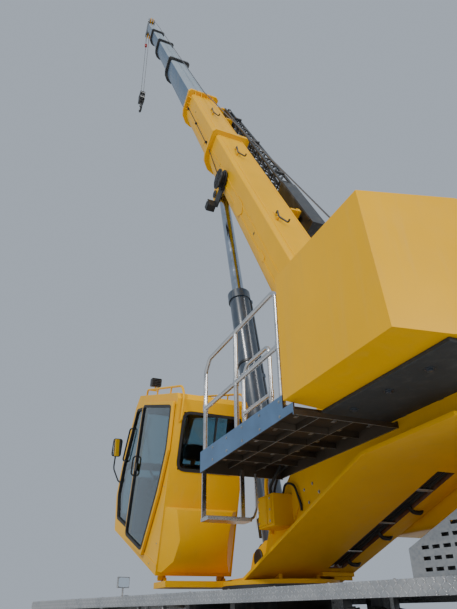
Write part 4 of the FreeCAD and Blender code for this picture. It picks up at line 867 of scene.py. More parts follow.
def cab_front(w):
    """How far forward the outside of the cab's front is, at a height above its floor."""
    return np.interp(w, (0.0, 0.45, 0.9, 1.78, 1.95), (2.35, 2.58, 2.5, 2.11, 1.94))


def belly_level(x):
    """Level of the sloping plate under the upper frame."""
    return np.interp(-x, (0.15, 2.4, 3.35), (1.69, 2.445, 2.455))


def collar_test(index):
    half, high = section_half(index)
    edge = SECTION_EDGES[index]
    return lambda p, n: (p[:, 0] > edge - COLLAR_LONG - 0.005) & (
        (abs(p[:, 1]) > half + 0.002) | (abs(p[:, 2]) > high + 0.002) | (abs(n[:, 0]) > 0.9))


# The upward faces of a section, which take the paler grey: painted light on the tops
def top_test(index):
    edge = SECTION_EDGES[index]
    return lambda p, n: (p[:, 0] < edge - COLLAR_LONG - 0.005) & (n[:, 2] > 0.6)


def lining_test(p, n):
    return ((p[:, 1] > 0.383) & (p[:, 1] < 1.197) & (p[:, 2] > 0.038) & (p[:, 2] < 1.912)
            & (p[:, 0] > 0.038) & (p[:, 0] < cab_front(p[:, 2]) - 0.030))


def slot_test(p, n):
    return ((p[:, 1] > -0.435) & (p[:, 1] < -0.245) & (p[:, 0] < -0.55) & (p[:, 0] > -2.31)
            & (p[:, 2] > belly_level(p[:, 0]) + 0.002) & (p[:, 2] < belly_level(p[:, 0]) + 0.095))


def silencer_test(p, n):
    return ((p[:, 1] < 1.234) & (abs(p[:, 1] - 0.770) > 0.010) & (p[:, 0] > -3.430)
            & (p[:, 2] > 1.622) & ((p[:, 2] < 2.060) | (abs(n[:, 2]) < 0.9)))


# Nodes split among several finishes: some real second colours, and painted light on the boom sections' tops and
# painted shade on the walkway's under faces
TWO_TONED_AND_PAINTED_LIGHT = [
    # node, rounding, the frame of the tests, and each other finish with its test
    *(("boom_section_%d" % index, 0.006, BOOM,
       [("boom_top_painted_light", top_test(index)), ("black_paint", collar_test(index))]) for index in (1, 2, 3)),
    ("boom_section_4", 0.006, BOOM, [("boom_top_painted_light", top_test(4))]),
    ("cab_shell", 0.016, CAB, [("lining", lining_test)]),
    ("upper_frame", 0.006, UPPER, [("primer", slot_test)]),
    ("side_platform", 0.003, UPPER,
     # Faces of the walkway that do not face up take the darker aluminium: painted shade
     [("platform_under_painted_shade",
                       lambda p, n: (p[:, 2] > 2.586) & (p[:, 1] < 1.245) & (n[:, 2] < 0.5)),
      ("guard_metal", lambda p, n: (p[:, 2] > 2.586) & (p[:, 2] < 2.660) & (p[:, 1] < 1.233) & (n[:, 2] < -0.9)),
      ("rail_tube", lambda p, n: p[:, 2] < 2.589)]),
    ("exhaust_guard", 0.003, CARRIER, [("cast", silencer_test)]),
    ("deck", 0.005, CARRIER, [("edge_plate", lambda p, n: abs(n[:, 1]) > 0.7),
                              ("end_plate", lambda p, n: abs(n[:, 0]) > 0.7)]),
]


class CRANE_OT_finishes(bpy.types.Operator):
    """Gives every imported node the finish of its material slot"""
    bl_idname = "crane.finishes"
    bl_label = "Finishes"

    def execute(self, context):
        for row in frame["record"]["subparts"]:
            node = NODES[row["node"]]
            finish = finish_of(OTHER_FINISH.get(row["node"], row["material_slot"]))
            if not node.material_slots:
                node.data.materials.append(finish)
            for slot in node.material_slots:
                slot.material = finish
        return {"FINISHED"}


class CRANE_OT_soft_edges(bpy.types.Operator):
    """Stands copies with rounded plate edges in for the large painted nodes"""
    bl_idname = "crane.soft_edges"
    bl_label = "Soft plate edges"

    def execute(self, context):
        for node in SOFT_COPIES:
            softened_copy(node, sizes().edge, OTHER_FINISH.get(node))
        for node, width, where, others in TWO_TONED_AND_PAINTED_LIGHT:
            softened_copy(node, width, OTHER_FINISH.get(node), 35.0, where, others)
        return {"FINISHED"}


# Tyres and wheels

HALF_BASE, HALF_TRACK, WHEEL_LEVEL = 1.9, 1.0, 0.74
TYRE_RADIUS = 0.7385


def wheel_frame(corner):
    along_x, across = CORNERS[corner]
    return shifted(CARRIER, HALF_BASE * along_x, HALF_TRACK * across, WHEEL_LEVEL)


def tyre_carcass(outer, half):
    """Surface of revolution about Y: bead, bulging wall with two moulded rings, shoulder, tread."""
    wall = [(0.322, 0.196), (0.35, 0.222), (0.388, 0.229), (0.396, 0.236), (0.404, 0.236), (0.412, 0.231),
        (0.47, 0.244), (0.54, half), (0.6, 0.247), (0.64, 0.24), (0.648, 0.244), (0.66, 0.243),
        (0.668, 0.233), (outer - 0.022, 0.224), (outer - 0.004, 0.2), (outer, 0.12), (outer, 0.0)]
    left = [(r, -y) for r, y in wall]
    right = [(r, y) for r, y in wall[::-1][1:]]
    inner = [(0.345, 0.18), (0.345, -0.18)]
    return turned(left + right + inner, 96, "Y")


def tyre_lugs(outer, height, half, count):
    """Slanted lugs: at share u from the shoulder to past the middle, the angle round the wheel is
    start + slant * u^1.3, and a section of four points has its base on the carcass and its top out at
    the tyre's radius; it bends down over the shoulder where u is small."""
    u = np.linspace(0, 1, 7)
    across = half * 0.985 - half * 1.06 * u ** 0.9
    drop = 0.075 * np.maximum(0.0, 1 - u / 0.2) ** 1.5
    shapes = []
    for side in (1, -1):
        for k in range(count):
            start = 2 * np.pi * (k + (0.5 if side < 0 else 0.0)) / count
            a = start + 0.3 * u ** 1.3 * side
            wide = 0.036 + 0.012 * u
            ring = []
            for edge, lift in ((-1.18, 0), (-0.86, 1), (0.86, 1), (1.18, 0)):
                r = outer + height * lift - drop - 0.012 * (1 - lift)
                ring.append(np.stack((r * np.sin(a + edge * wide / outer),
                    side * (across + 0.003 * lift * (u < 0.01)), r * np.cos(a + edge * wide / outer)), 1))
            shapes.append((np.stack(ring, 1).reshape(-1, 3), tube_faces(len(u), 4)))
    return joined(*shapes)


class CRANE_OT_tyres(bpy.types.Operator):
    """Moulds the four tyres with slanted lugs, wall rings and bead"""
    bl_idname = "crane.tyres"
    bl_label = "Tyres"

    def execute(self, context):
        outer = TYRE_RADIUS - sizes().lug_height
        shape = joined(tyre_carcass(outer, 0.25), tyre_lugs(outer, sizes().lug_height, 0.244,
            sizes().lug_count))
        for corner in CORNERS:
            piece("tyre_" + corner + "_rubber", shape, "wheel_" + corner, "tyre", soften=0.003,
                where=wheel_frame(corner), replaces=("tyre_" + corner,))
        return {"FINISHED"}


# Cab

DOOR = [(0.56, 0.07), (1.53, 0.07), (1.53, 1.85), (0.06, 1.85), (0.03, 1.3), (0.18, 0.82)]
SIDE_PANE = [(1.54, 0.18), (2.29, 0.18), (2.47, 0.47), (2.4, 0.88), (2.0, 1.74), (1.54, 1.78)]
SEAT_MIDDLE = 0.79


def inset(outline, distance):
    """The outline moved inwards by a distance along each corner's halving line."""
    p = np.asarray(outline, float)
    before, after = np.roll(p, 1, 0), np.roll(p, -1, 0)
    first, second = p - before, after - p
    first /= np.linalg.norm(first, axis=1)[:, None]
    second /= np.linalg.norm(second, axis=1)[:, None]
    area = np.sum(p[:, 0] * after[:, 1] - after[:, 0] * p[:, 1])
    sign = 1 if area > 0 else -1
    n1, n2 = (np.stack((-first[:, 1], first[:, 0]), 1), np.stack((-second[:, 1], second[:, 0]), 1))
    halving = n1 + n2
    scale = 2 / np.sum(halving * halving, axis=1)[:, None]
    return p + sign * distance * halving * scale


class CRANE_OT_cab_seals(bpy.types.Operator):
    """Black rubber round every cab window"""
    bl_idname = "crane.cab_seals"
    bl_label = "Window seals"

    def execute(self, context):
        wide = sizes().seal
        door = rounded_outline(inset(DOOR, 0.058), 0.07)
        side = rounded_outline(inset(SIDE_PANE, 0.004), 0.05)
        piece("door_window_seal", rim_band(door, wide, 1.236, 1.279), "cab_door", "black_plastic", "seal")
        piece("side_window_seal", rim_band(side, wide, 1.206, 1.24), "cab", "black_plastic", "seal")
        rear = rounded_outline(oblong(0.42, 1.1, 1.14, 1.74), 0.09)
        front_low = [(cab_front(w) + 0.002, y, w) for y, w in ((0.435, 0.2), (1.145, 0.2), (1.145, 0.45),
            (1.145, 0.87), (0.435, 0.87), (0.435, 0.45))]
        front_high = [(cab_front(w) + 0.002, y, w) for y, w in ((0.415, 0.96), (1.165, 0.96), (1.165, 1.72),
            (0.415, 1.72))]
        loops = [closed_pipe(front_low, wide * 0.45, 0.06), closed_pipe(front_high, wide * 0.45, 0.06)]
        piece("front_window_seals", loops, "cab", "black_plastic", "seal")
        right = rounded_outline([(0.5, 0.9), (2.36, 0.9), (2.0, 1.74), (0.5, 1.78)], 0.08)
        piece("right_window_seal", rim_band(right, wide, 0.338, 0.389), "cab", "black_plastic", "seal")
        roof = rounded_outline(oblong(0.35, 0.475, 1.45, 1.105), 0.08)
        piece("rear_window_seal", rim_band(rear, wide, -0.004, 0.044, "X"), "cab", "black_plastic", "seal")
        piece("roof_window_seal", rim_band(roof, wide, 1.946, 1.956, "Z"), "cab", "black_plastic", "seal")
        return {"FINISHED"}


def pillow(low, high, crown, around=28, rows=9):
    """A crowned pad: a rounded oblong |x/a|^n + |y/b|^n = 1 with n = 5, whose half thickness at share v
    from edge to middle is h * (1 - (1 - v)^3) plus the crown."""
    low, high = np.asarray(low, float), np.asarray(high, float)
    (centre, half) = (low + high) / 2, (high - low) / 2
    a = angles(around)
    power = 2 / 5
    edge = np.stack((np.sign(np.cos(a)) * np.abs(np.cos(a)) ** power,
        np.sign(np.sin(a)) * np.abs(np.sin(a)) ** power), 1)
    v = np.linspace(0, 1, rows)
    shell = []
    for side in (1, -1):
        rings = []
        for share in (v if side > 0 else v[::-1]):
            ring = edge * half[:2] * (1 - 0.999 * share ** 1.6)
            thick = half[2] * (0.55 + 0.45 * (1 - (1 - share) ** 3)) + crown * share * (side > 0)
            rings.append(np.column_stack((ring, np.full(around, side * thick))))
        shell += rings
    points = np.concatenate(shell[rows:] + shell[:rows]) + centre
    return points, tube_faces(2 * rows, around)


def plumped(thing, pressure=4.0, cap=0.012, voxel=0.006):
    """Remeshes a pad, blows it up as cloth for 20 frames and keeps each point within the cap of where
    it was."""
    remesh = thing.modifiers.new("Voxels", "REMESH")
    remesh.mode, remesh.voxel_size = "VOXEL", voxel
    take_modifiers(thing)
    count = len(thing.data.vertices)
    start = np.empty(count * 3)
    thing.data.vertices.foreach_get("co", start)
    scene = bpy.context.scene
    soft = thing.modifiers.new("Cloth", "CLOTH")
    soft.settings.use_pressure = True
    soft.settings.uniform_pressure_force = pressure
    soft.settings.effector_weights.gravity = 0.0
    soft.settings.tension_stiffness = soft.settings.compression_stiffness = 40
    scene.frame_set(1)
    for number in range(1, 21):
        scene.frame_set(number)
    take_modifiers(thing)
    scene.frame_set(1)
    now = np.empty(count * 3)
    thing.data.vertices.foreach_get("co", now)
    step = (now - start).reshape(-1, 3)
    length = np.linalg.norm(step, axis=1)[:, None]
    step *= np.minimum(1.0, cap / np.maximum(length, 1e-09))
    thing.data.vertices.foreach_set("co", (start.reshape(-1, 3) + step).ravel())
    thing.data.update()


def take_modifiers(thing):
    """Makes the modified mesh the object's own."""
    graph = bpy.context.evaluated_depsgraph_get()
    graph.update()
    new = bpy.data.meshes.new_from_object(thing.evaluated_get(graph))
    thing.modifiers.clear()
    old, thing.data = thing.data, new
    bpy.data.meshes.remove(old)


def seat_pad(name, shape, seams, where=CAB):
    """A pad of the seat, blown up as cloth, with sewn channels pressed in afterwards."""
    thing = piece(name, shape, "cab", "seat_fabric", where=where, angle=60)
    plumped(thing)
    count = len(thing.data.vertices)
    place = np.empty(count * 3)
    thing.data.vertices.foreach_get("co", place)
    normal = np.empty(count * 3)
    thing.data.vertices.foreach_get("normal", normal)
    place, normal = place.reshape(-1, 3), normal.reshape(-1, 3)
    inverse = np.linalg.inv(where)
    local = place @ inverse[:3, :3].T + inverse[:3, 3]
    depth = np.zeros(count)
    for axis, at in seams:
        depth += 0.01 * np.exp(-((local[:, axis] - at) / 0.007) ** 2)
    thing.data.vertices.foreach_set("co", (place - normal * depth[:, None]).ravel())
    thing.data.update()
    smooth = thing.modifiers.new("Smooth", "SUBSURF")
    smooth.levels = smooth.render_levels = 1
    thing.data.polygons.foreach_set("use_smooth", [True] * len(thing.data.polygons))
    return thing


class CRANE_OT_cab_seat(bpy.types.Operator):
    """Seat with its blown pads, shell, arms and suspension"""
    bl_idname = "crane.cab_seat"
    bl_label = "Driver's seat"

    def execute(self, context):
        middle = SEAT_MIDDLE
        back_place = CAB @ moved(0.645, middle, 0.5) @ rotation("Y", -11)
        cushion = pillow((0.68, middle - 0.23, 0.435), (1.19, middle + 0.23, 0.555), 0.012)
        back = placed(pillow((-0.31, -0.23, -0.055), (0.31, 0.23, 0.055), 0.01),
            moved(0.02, 0, 0.34) @ rotation("Y", 90))
        seat_pad("seat_cushion", cushion, [(1, middle - 0.13), (1, middle + 0.13)])
        seat_pad("seat_back", back, [(1, -0.13), (1, 0.13)], back_place)
        rest = placed(pillow((-0.1, -0.13, -0.045), (0.1, 0.13, 0.045), 0.006),
            moved(0.02, 0, 0.79) @ rotation("Y", 90))
        seat_pad("head_rest", rest, [], back_place)
        shell = [block((0.66, middle - 0.2, 0.36), (1.12, middle + 0.2, 0.432))]
        for k in range(5):
            shell.append(block((0.74 - 0.012 * (k % 2), middle - 0.15 - 0.012 * (k % 2), 0.1 + 0.05 * k),
                (1.06 + 0.012 * (k % 2), middle + 0.15 + 0.012 * (k % 2), 0.155 + 0.05 * k)))
        shell.append(block((0.7, middle - 0.19, 0.042), (1.1, middle + 0.19, 0.1)))
        for side in (-1, 1):
            y = middle + side * 0.3
            shell.append(block((0.7, y - 0.045, 0.66), (1.16, y + 0.045, 0.715)))
            shell.append(pipe([(0.74, y, 0.67), (0.72, y, 0.45), (0.74, middle + side * 0.2, 0.39)], 0.018,
                0.05))
            lever = turned([(0.0001, 0), (0.04, 0), (0.034, 0.03), (0.014, 0.05), (0.013, 0.1),
                (0.022, 0.12), (0.024, 0.17), (0.012, 0.19), (0.0001, 0.19)], 16)
            shell.append(placed(lever, moved(1.1, y, 0.713)))
        piece("seat_frame", shell, "cab", "black_plastic", soften=0.008, replaces=("cab_interior",))
        spine = [block((-0.075, -0.17, 0.03), (-0.045, 0.17, 0.62)), block((-0.02, -0.03, 0.6),
            (0.005, 0.03, 0.72))]
        piece("seat_spine", spine, "cab", "black_plastic", soften=0.01, where=back_place)
        return {"FINISHED"}


class CRANE_OT_cab_controls(bpy.types.Operator):
    """Console with its blank screen, steering wheel and column, pedals and floor mat"""
    bl_idname = "crane.cab_controls"
    bl_label = "Cab controls"

    def execute(self, context):
        middle = SEAT_MIDDLE
        console = [(1.9, 0.04), (2.1, 0.04), (2.2, 0.45), (2.1, 0.8), (1.95, 0.78)]
        body = slab(rounded_outline(console, 0.04), middle - 0.26, middle + 0.26)
        screen = block((-0.012, -0.13, -0.09), (0.012, 0.13, 0.09))
        mat = block((0.3, 0.4, 0.0405), (2.05, 1.18, 0.048))
        pedals = [placed(block((-0.03, -0.045, -0.07), (0.0, 0.045, 0.07)), moved(1.87, middle + y, 0.19))
            for y in (-0.14, 0.14)]
        piece("console_body", [body, mat, *pedals], "cab", "black_plastic", "grey_plastic", 0.01)
        piece("console_screen", screen, "cab", "black_plastic", soften=0.006, where=CAB @ moved(1.985,
            middle - 0.3, 0.93) @ rotation("Y", -25))
        a = angles(48)
        tube = circle(0.016, 10)
        ring = np.stack([np.stack(((0.19 + c) * np.cos(a), (0.19 + c) * np.sin(a), np.full(48, s)), 1)
                         for c, s in tube], 1).reshape(-1, 3)
        wheel = (ring, grid_faces(48, 10, True, True))
        spokes = [disc_bar(0.011, (0, 0, -0.04), (0.19 * math.cos(t), 0.19 * math.sin(t), 0), 8)
            for t in (0.0, 2.1, 4.2)]
        hub = turned([(0.0001, -0.07), (0.045, -0.07), (0.05, -0.03), (0.03, -0.015), (0.0001, -0.012)], 20)
        column = disc_bar(0.035, (0, 0, -0.06), (0.33, 0, -0.33), 16)
        place = CAB @ moved(1.7, middle, 0.905) @ rotation("Y", -30)
        piece("steering_wheel", [wheel, hub, column, *spokes], "cab", "black_plastic", where=place)
        return {"FINISHED"}


# Boom

def row_of_bolts(places, turn, radius=None, height=0.012):
    """Bolt heads at places, each turned the same way."""
    head = bolt_head(radius or sizes().bolt, height)
    return [placed(head, moved(*place) @ turn) for place in places]


def bolt_circle(centre, reach, count, turn, radius, height, first=0.0):
    """Bolt heads on a circle square to the way they point. first is the share of a step to start at."""
    one, two = [axis for axis in range(3) if abs(turn[axis, 2]) < 0.5]
    places = np.tile(np.asarray(centre, float), (count, 1))
    a = angles(count) + 2 * np.pi * first / count
    places[:, one] += reach * np.cos(a)
    places[:, two] += reach * np.sin(a)
    return row_of_bolts(places, turn, radius, height)


OUT_LEFT, OUT_RIGHT, UPSIDE_DOWN = rotation("X", -90), rotation("X", 90), rotation("X", 180)
AHEAD, BEHIND, STRAIGHT = rotation("Y", 90), rotation("Y", -90), rotation("Z", 0)
BOTH_SIDES = ((1, OUT_LEFT), (-1, OUT_RIGHT))


class CRANE_OT_boom_fittings(bpy.types.Operator):
    """Collar bolts, gussets and wear pads, the dark hooks, weld lines and the stiffening plates"""
    bl_idname = "crane.boom_fittings"
    bl_label = "Boom fittings"

    def execute(self, context):
        for index, body in enumerate(SECTION_BODIES[:4]):
            self.collar(index, body)
        self.weld_lines()
        self.hooks()
        return {"FINISHED"}

    def collar(self, index, body):
        half, high = section_half(index)
        edge, slot = SECTION_EDGES[index], "crane_yellow" if index == 0 else "boom_grey"
        middle = edge - COLLAR_LONG / 2
        bolts = []
        for share in (-0.05, 0.25, 0.5, 0.75):
            z = high * share
            bolts += row_of_bolts([(middle, half + COLLAR, z)], OUT_LEFT)
            bolts += row_of_bolts([(middle, -half - COLLAR, z)], OUT_RIGHT)
        bolts += row_of_bolts([(middle, y * half, high + COLLAR) for y in (-0.6, -0.2, 0.2, 0.6)], STRAIGHT)
        piece("collar_bolts_%d" % index, bolts, body, slot, "bolt")
        if index == 0:
            self.gussets(half, high, edge)
        inner, tall = section_half(index + 1)
        pads = []
        for side in (-1, 1):
            pads.append(block((edge - 0.002, side * (inner + 0.002), tall * 0.15),
                (edge + 0.03, side * (half + 0.045), tall * 0.85)))
            pads.append(block((edge - 0.002, side * inner * 0.3, tall + 0.002),
                (edge + 0.03, side * inner * 0.92, high + 0.045)))
            pads.append(block((edge - 0.002, side * inner * 0.93, -tall * 0.35),
                (edge + 0.03, side * (half + 0.04), -tall * 0.02)))
        piece("collar_pads_%d" % index, pads, body, "black_plastic", soften=0.004)

    def gussets(self, half, high, edge):
        """Plates that brace the base's collar. The other sections have none, to slide home."""
        plates, back = [], edge - COLLAR_LONG + 0.002
        plate = gusset(0.2, COLLAR * 0.92, 0.012)
        for y in (-0.75, -0.25, 0.25, 0.75):
            plates.append(placed(plate, moved(back, y * half, high)))
        for z in (-0.05, 0.35, 0.75):
            for side in (-1, 1):
                plates.append(placed(plate, moved(back, side * half, z * high) @ rotation("X", -90 * side)))
        piece("collar_gussets", plates, "boom", "crane_yellow", soften=0.003)

    def weld_lines(self):
        """Beads where the plates of the base are joined, and the lines of their folds."""
        ((half, high), thick) = section_half(0), 0.01
        start, end = -0.1, SECTION_EDGES[0] - COLLAR_LONG
        beads = []
        for side in (-1, 1):
            for z in (0.055, -0.2 * high):
                beads.append(disc_bar(thick, (start, side * half, z), (end, side * half, z), 8))
            beads.append(disc_bar(thick, (start, side * (half - 0.075), high), (end, side * (half - 0.075),
                high), 8))
        piece("weld_lines", beads, "boom", "crane_yellow")

    def hooks(self):
        half, high = section_half(0)
        rods, feet = [], []
        lift = high + 0.055
        for (s0, y0), (s1, y1), (s2, y2) in (((3.3, 0.094), (3.07, 0.147), (2.93, 0.045)),
                                             ((6.22, 0.052), (5.8, 0.122), (5.68, 0.012)),
                                             ((9.1, 0.013), (8.64, 0.069), (8.41, -0.015))):
            rods.append(pipe([(s0, y0, high - 0.002), (s0, y0, lift), (s1, y1, lift), (s2, y2, lift),
                (s2, y2, lift + 0.05)], 0.013, 0.05, 10))
            feet.append(pad((s0 - 0.07, y0 - 0.04), (s0 + 0.05, y0 + 0.04), 0.02, high - 0.001, high + 0.012,
                "Z"))
            feet.append(disc_bar(0.02, (s1, y1, high - 0.002), (s1, y1, lift - 0.006), 12))
        piece("boom_hooks", rods, "boom", "dark_steel", "black_paint")
        stiff = [(4.0, -0.025), (4.13, 0.085), (4.42, 0.085), (4.55, -0.025), (4.42, -0.135), (4.13, -0.135)]
        for side in (-1, 1):
            feet.append(slab(rounded_outline(stiff, 0.03), side * (half - 0.002), side * (half + 0.012)))
            for s in (0.55, 2.6, 7.6):
                feet.append(pad((s, -0.1), (s + 0.22, -0.02), 0.03, side * (half - 0.002),
                    side * (half + 0.009)))
        for s in (3.7, 8.75, 9.75):
            feet.append(block((s, -0.395, 0.215), (s + 0.055, -0.285, 0.35)))
            feet.append(block((s - 0.02, -0.44, 0.16), (s + 0.075, -0.385, 0.36)))
        piece("boom_plates", feet, "boom", "crane_yellow", soften=0.003)
        holes = []
        for s, z in ((3.27, 0.0), (5.97, 0.05), (7.3, -0.04), (9.3, 0.16)):
            for side, turn in BOTH_SIDES:
                holes += row_of_bolts([(s, side * half, z)], turn, 0.016, 0.004)
        piece("boom_plugs", holes, "boom", "black_plastic", "black_paint")


# Forward of the boom's pivot and above its middle line: the hoist rope from the upper drum's top over
# the base's collar to the top of the head's sheave. It runs level over the sections, so that its
# pieces lie in one line at any length of the boom.
ROPE_LINE = ((-0.39, 1.03), (10.5, 0.455), (15.5, 0.455), (19.8, 0.455), (23.1, 0.455), (26.89, 0.415))


class CRANE_OT_hoist_rope(bpy.types.Operator):
    """Hoist rope over the boom, its turns on the drums and the winch motors"""
    bl_idname = "crane.hoist_rope"
    bl_label = "Hoist rope and winches"

    def execute(self, context):
        radius = sizes().rope
        for body, (s0, up0), (s1, up1) in zip(SECTION_BODIES, ROPE_LINE, ROPE_LINE[1:]):
            piece("hoist_rope_" + body, disc_bar(radius, (s0, 0, up0), (s1, 0, up1), 10), body, "steel_rope")
        turns = 25
        y = np.linspace(-0.297, 0.297, turns * 4 + 1)
        r = 0.18 + radius * np.abs(np.sin(np.pi * (y + 0.297) / 0.594 * turns))
        profile = [(0.149, y[0]), *zip(r, y), (0.149, y[-1])]
        wound = turned(profile, 40, "Y")
        motor = turned([(0.06, 0.395), (0.13, 0.395), (0.13, 0.47), (0.09, 0.5), (0.09, 0.56), (0.0001, 0.56),
            (0.0001, 0.395)], 24, "Y")
        cover = turned(oblong(0.0001, 0.395, 0.11, 0.43), 24, "Y")
        extras, bolts = [], []
        for x, z in ((-2.81, 3.22), (-3.19, 3.485)):
            place = moved(x, 0, z)
            piece("drum_rope_%d" % round(-x * 100), placed(wound, place), "upper", "steel_rope")
            extras += [placed(motor, place), placed(cover, place @ rotation("Z", 180))]
            for side, turn in BOTH_SIDES:
                bolts += bolt_circle((x, side * 0.4, z), 0.105, 8, turn, 0.01, 0.01)
                hole = disc_bar(0.028, (0.135, side * 0.331, 0), (0.135, side * 0.345, 0), 12)
                extras += [placed(hole, place @ rotation("Y", 60 * k)) for k in range(6)]
        piece("winch_motors", extras, "upper", "dark_steel", soften=0.004)
        piece("winch_bolts", bolts, "upper", "dark_steel", "bolt")
        hoses = [pipe([(-2.81, 0.53, 3.22), (-2.7, 0.56, 3.16), (-2.62, 0.44, 3.05), (-2.56, 0.36, 2.9)],
            0.016, 0.08, 10)]
        piece("winch_hoses", hoses, "upper", "black_plastic", "hose")
        return {"FINISHED"}


class CRANE_OT_boom_head_fittings(bpy.types.Operator):
    """Grooved sheaves, pin caps and the limit weight at the boom's head, and the hook block's trim"""
    bl_idname = "crane.head_fittings"
    bl_label = "Head and hook"

    def execute(self, context):
        (edge, (half, high)) = SECTION_EDGES[4], section_half(4)
        flange = turned([(0.145, -0.016), (0.18, -0.022), (0.188, -0.018), (0.168, -0.004), (0.168, 0.004),
            (0.188, 0.018), (0.18, 0.022), (0.145, 0.016)], 36, "Y")
        grooves, caps = [], []
        for s, z in ((edge + 0.64, high + 0.03), (edge + 0.33, -high - 0.11)):
            for y in (-0.055, 0.055):
                grooves.append(placed(flange, moved(s, y, z)))
            for side in (-1, 1):
                caps.append(disc_bar(0.05, (s, side * (half - 0.013), z), (s, side * (half + 0.01), z), 20,
                    0.004))
        piece("head_sheaves", grooves, "section_4", "crane_yellow")
        piece("head_pin_caps", caps, "section_4", "dark_steel", "bolt")
        lower = shifted(BOOM, edge + 0.33, 0, -high - 0.11)[:3, 3]
        hang = frame_at(lower + UPPER[:3, 0] * 0.1765, UPPER[:3, 0], LEFT)
        weight = turned([(0.02, -0.74), (0.055, -0.74), (0.06, -0.7), (0.06, -0.58), (0.04, -0.55),
            (0.02, -0.55)], 24)
        piece("limit_weight", placed(weight, moved(0, 0.057, 0)), "falls", "dark_steel", "lamp_red",
            where=hang)
        line = disc_bar(0.005, (0.035, 0.1, -0.56), (0.02, 0.1, -0.02), 8)
        piece("limit_line", line, "falls", "black_plastic", where=hang)
        top = -4.25
        bands = []
        for z in (top - 0.1, top - 0.4):
            for side in (-1, 1):
                bands.append(block((-0.15, side * 0.1115, z), (0.15, side * 0.1155, z + 0.045)))
                bands.append(block((side * 0.1895, -0.095, z), (side * 0.1935, 0.095, z + 0.045)))
        piece("hook_bands", bands, "hook", "dark_steel", "bolt", where=hang)
        trim = []
        for side in (-1, 1):
            trim.append(disc_bar(0.055, (0, side * 0.112, top - 0.24), (0, side * 0.135, top - 0.24), 20,
                0.004))
            cheek = rounded_outline(oblong(-0.165, top - 0.5, 0.165, top - 0.03), 0.08)
            trim.append(slab(cheek, side * 0.111, side * 0.117))
        trim.append(turned([(0.0001, top - 0.83), (0.062, top - 0.83), (0.07, top - 0.8), (0.07, top - 0.74),
            (0.052, top - 0.72), (0.0001, top - 0.72)], 6))
        latch = slab(rounded_outline([(0.02, top - 0.8), (0.055, top - 0.79), (0.15, top - 0.905),
            (0.12, top - 0.925)], 0.01), -0.018, 0.018)
        piece("hook_trim", [*trim, latch], "hook", "dark_steel", "black_paint", 0.002, where=hang)
        return {"FINISHED"}


class CRANE_OT_reel_and_jib(bpy.types.Operator):
    """Cable on its reel, the work lamp's lens and the folded jib's pins and rollers"""
    bl_idname = "crane.reel_and_jib"
    bl_label = "Cable reel and jib"

    def execute(self, context):
        y = np.linspace(0.346, 0.414, 33)
        r = 0.135 + 0.005 * np.abs(np.sin(np.pi * (y - 0.346) / 0.068 * 8))
        wound = turned([(0.109, y[0]), *zip(r, y), (0.109, y[-1])], 40, "Y")
        rings = [turned([(0.15, a), (0.178, a - 0.003), (0.178, a + 0.017), (0.15, a + 0.014)], 40, "Y")
            for a in (0.33, 0.416)]
        spokes = [placed(block((0.02, 0.4305, -0.012), (0.17, 0.4365, 0.012)), rotation("Y", 45 * k))
            for k in range(8)]
        place = BOOM @ moved(5.4, 0, -0.03)
        piece("reel_cable", wound, "boom", "black_plastic", "hose", where=place)
        piece("reel_rings", [*rings, *spokes], "boom", "black_plastic", soften=0.002, where=place)
        lead = pipe([(5.53, 0.38, -0.05), (5.75, 0.38, -0.03), (7.0, 0.335, 0.02), (8.8, 0.325, 0.03),
            (10.3, 0.322, 0.04)], 0.008, 0.12, 8)
        eyes = [block((s, 0.298, 0.0), (s + 0.03, 0.345, 0.05)) for s in (7.4, 8.8, 10.1)]
        piece("reel_lead", [lead, *eyes], "boom", "black_plastic", "hose")
        lens = pad((5.312, 0.335), (5.428, 0.455), 0.02, -0.606, -0.598, "Z")
        piece("boom_lamp_lens", lens, "boom", "lamp_body", "lens_clear")
        parts, pins = [], []
        for s in (3.5, 4.2, 4.85):
            for z in (0.2, 0.32):
                pins.append(disc_bar(0.03, (s, -0.492, z), (s, -0.735, z), 14, 0.003))
        for s in (9.35, 9.8, 9.96):
            pins.append(disc_bar(0.03, (s, -0.492, 0.26), (s, -0.668, 0.26), 16, 0.003))
        for k in range(7):
            s, turn = 3.46 + 0.21 * k, 35 if k % 2 else -35
            parts.append(placed(block((-0.012, -0.105, -0.002), (0.012, 0.105, 0.01)),
                moved(s, -0.61, 0.372) @ rotation("Z", turn)))
        for s in (5.4, 7.2, 8.9):
            parts.append(block((s, -0.7, 0.16), (s + 0.05, -0.49, 0.172)))
            parts.append(placed(turned([(0.0001, 0), (0.032, 0), (0.024, 0.01), (0.024, 0.15), (0.032, 0.16),
                (0.0001, 0.16)], 16, "Y"), moved(s, -0.675, 0.385)))
        piece("jib_pins", pins, "boom", "dark_steel", "cast")
        piece("jib_rollers", parts, "boom", "dark_steel", "black_paint", 0.002)
        return {"FINISHED"}


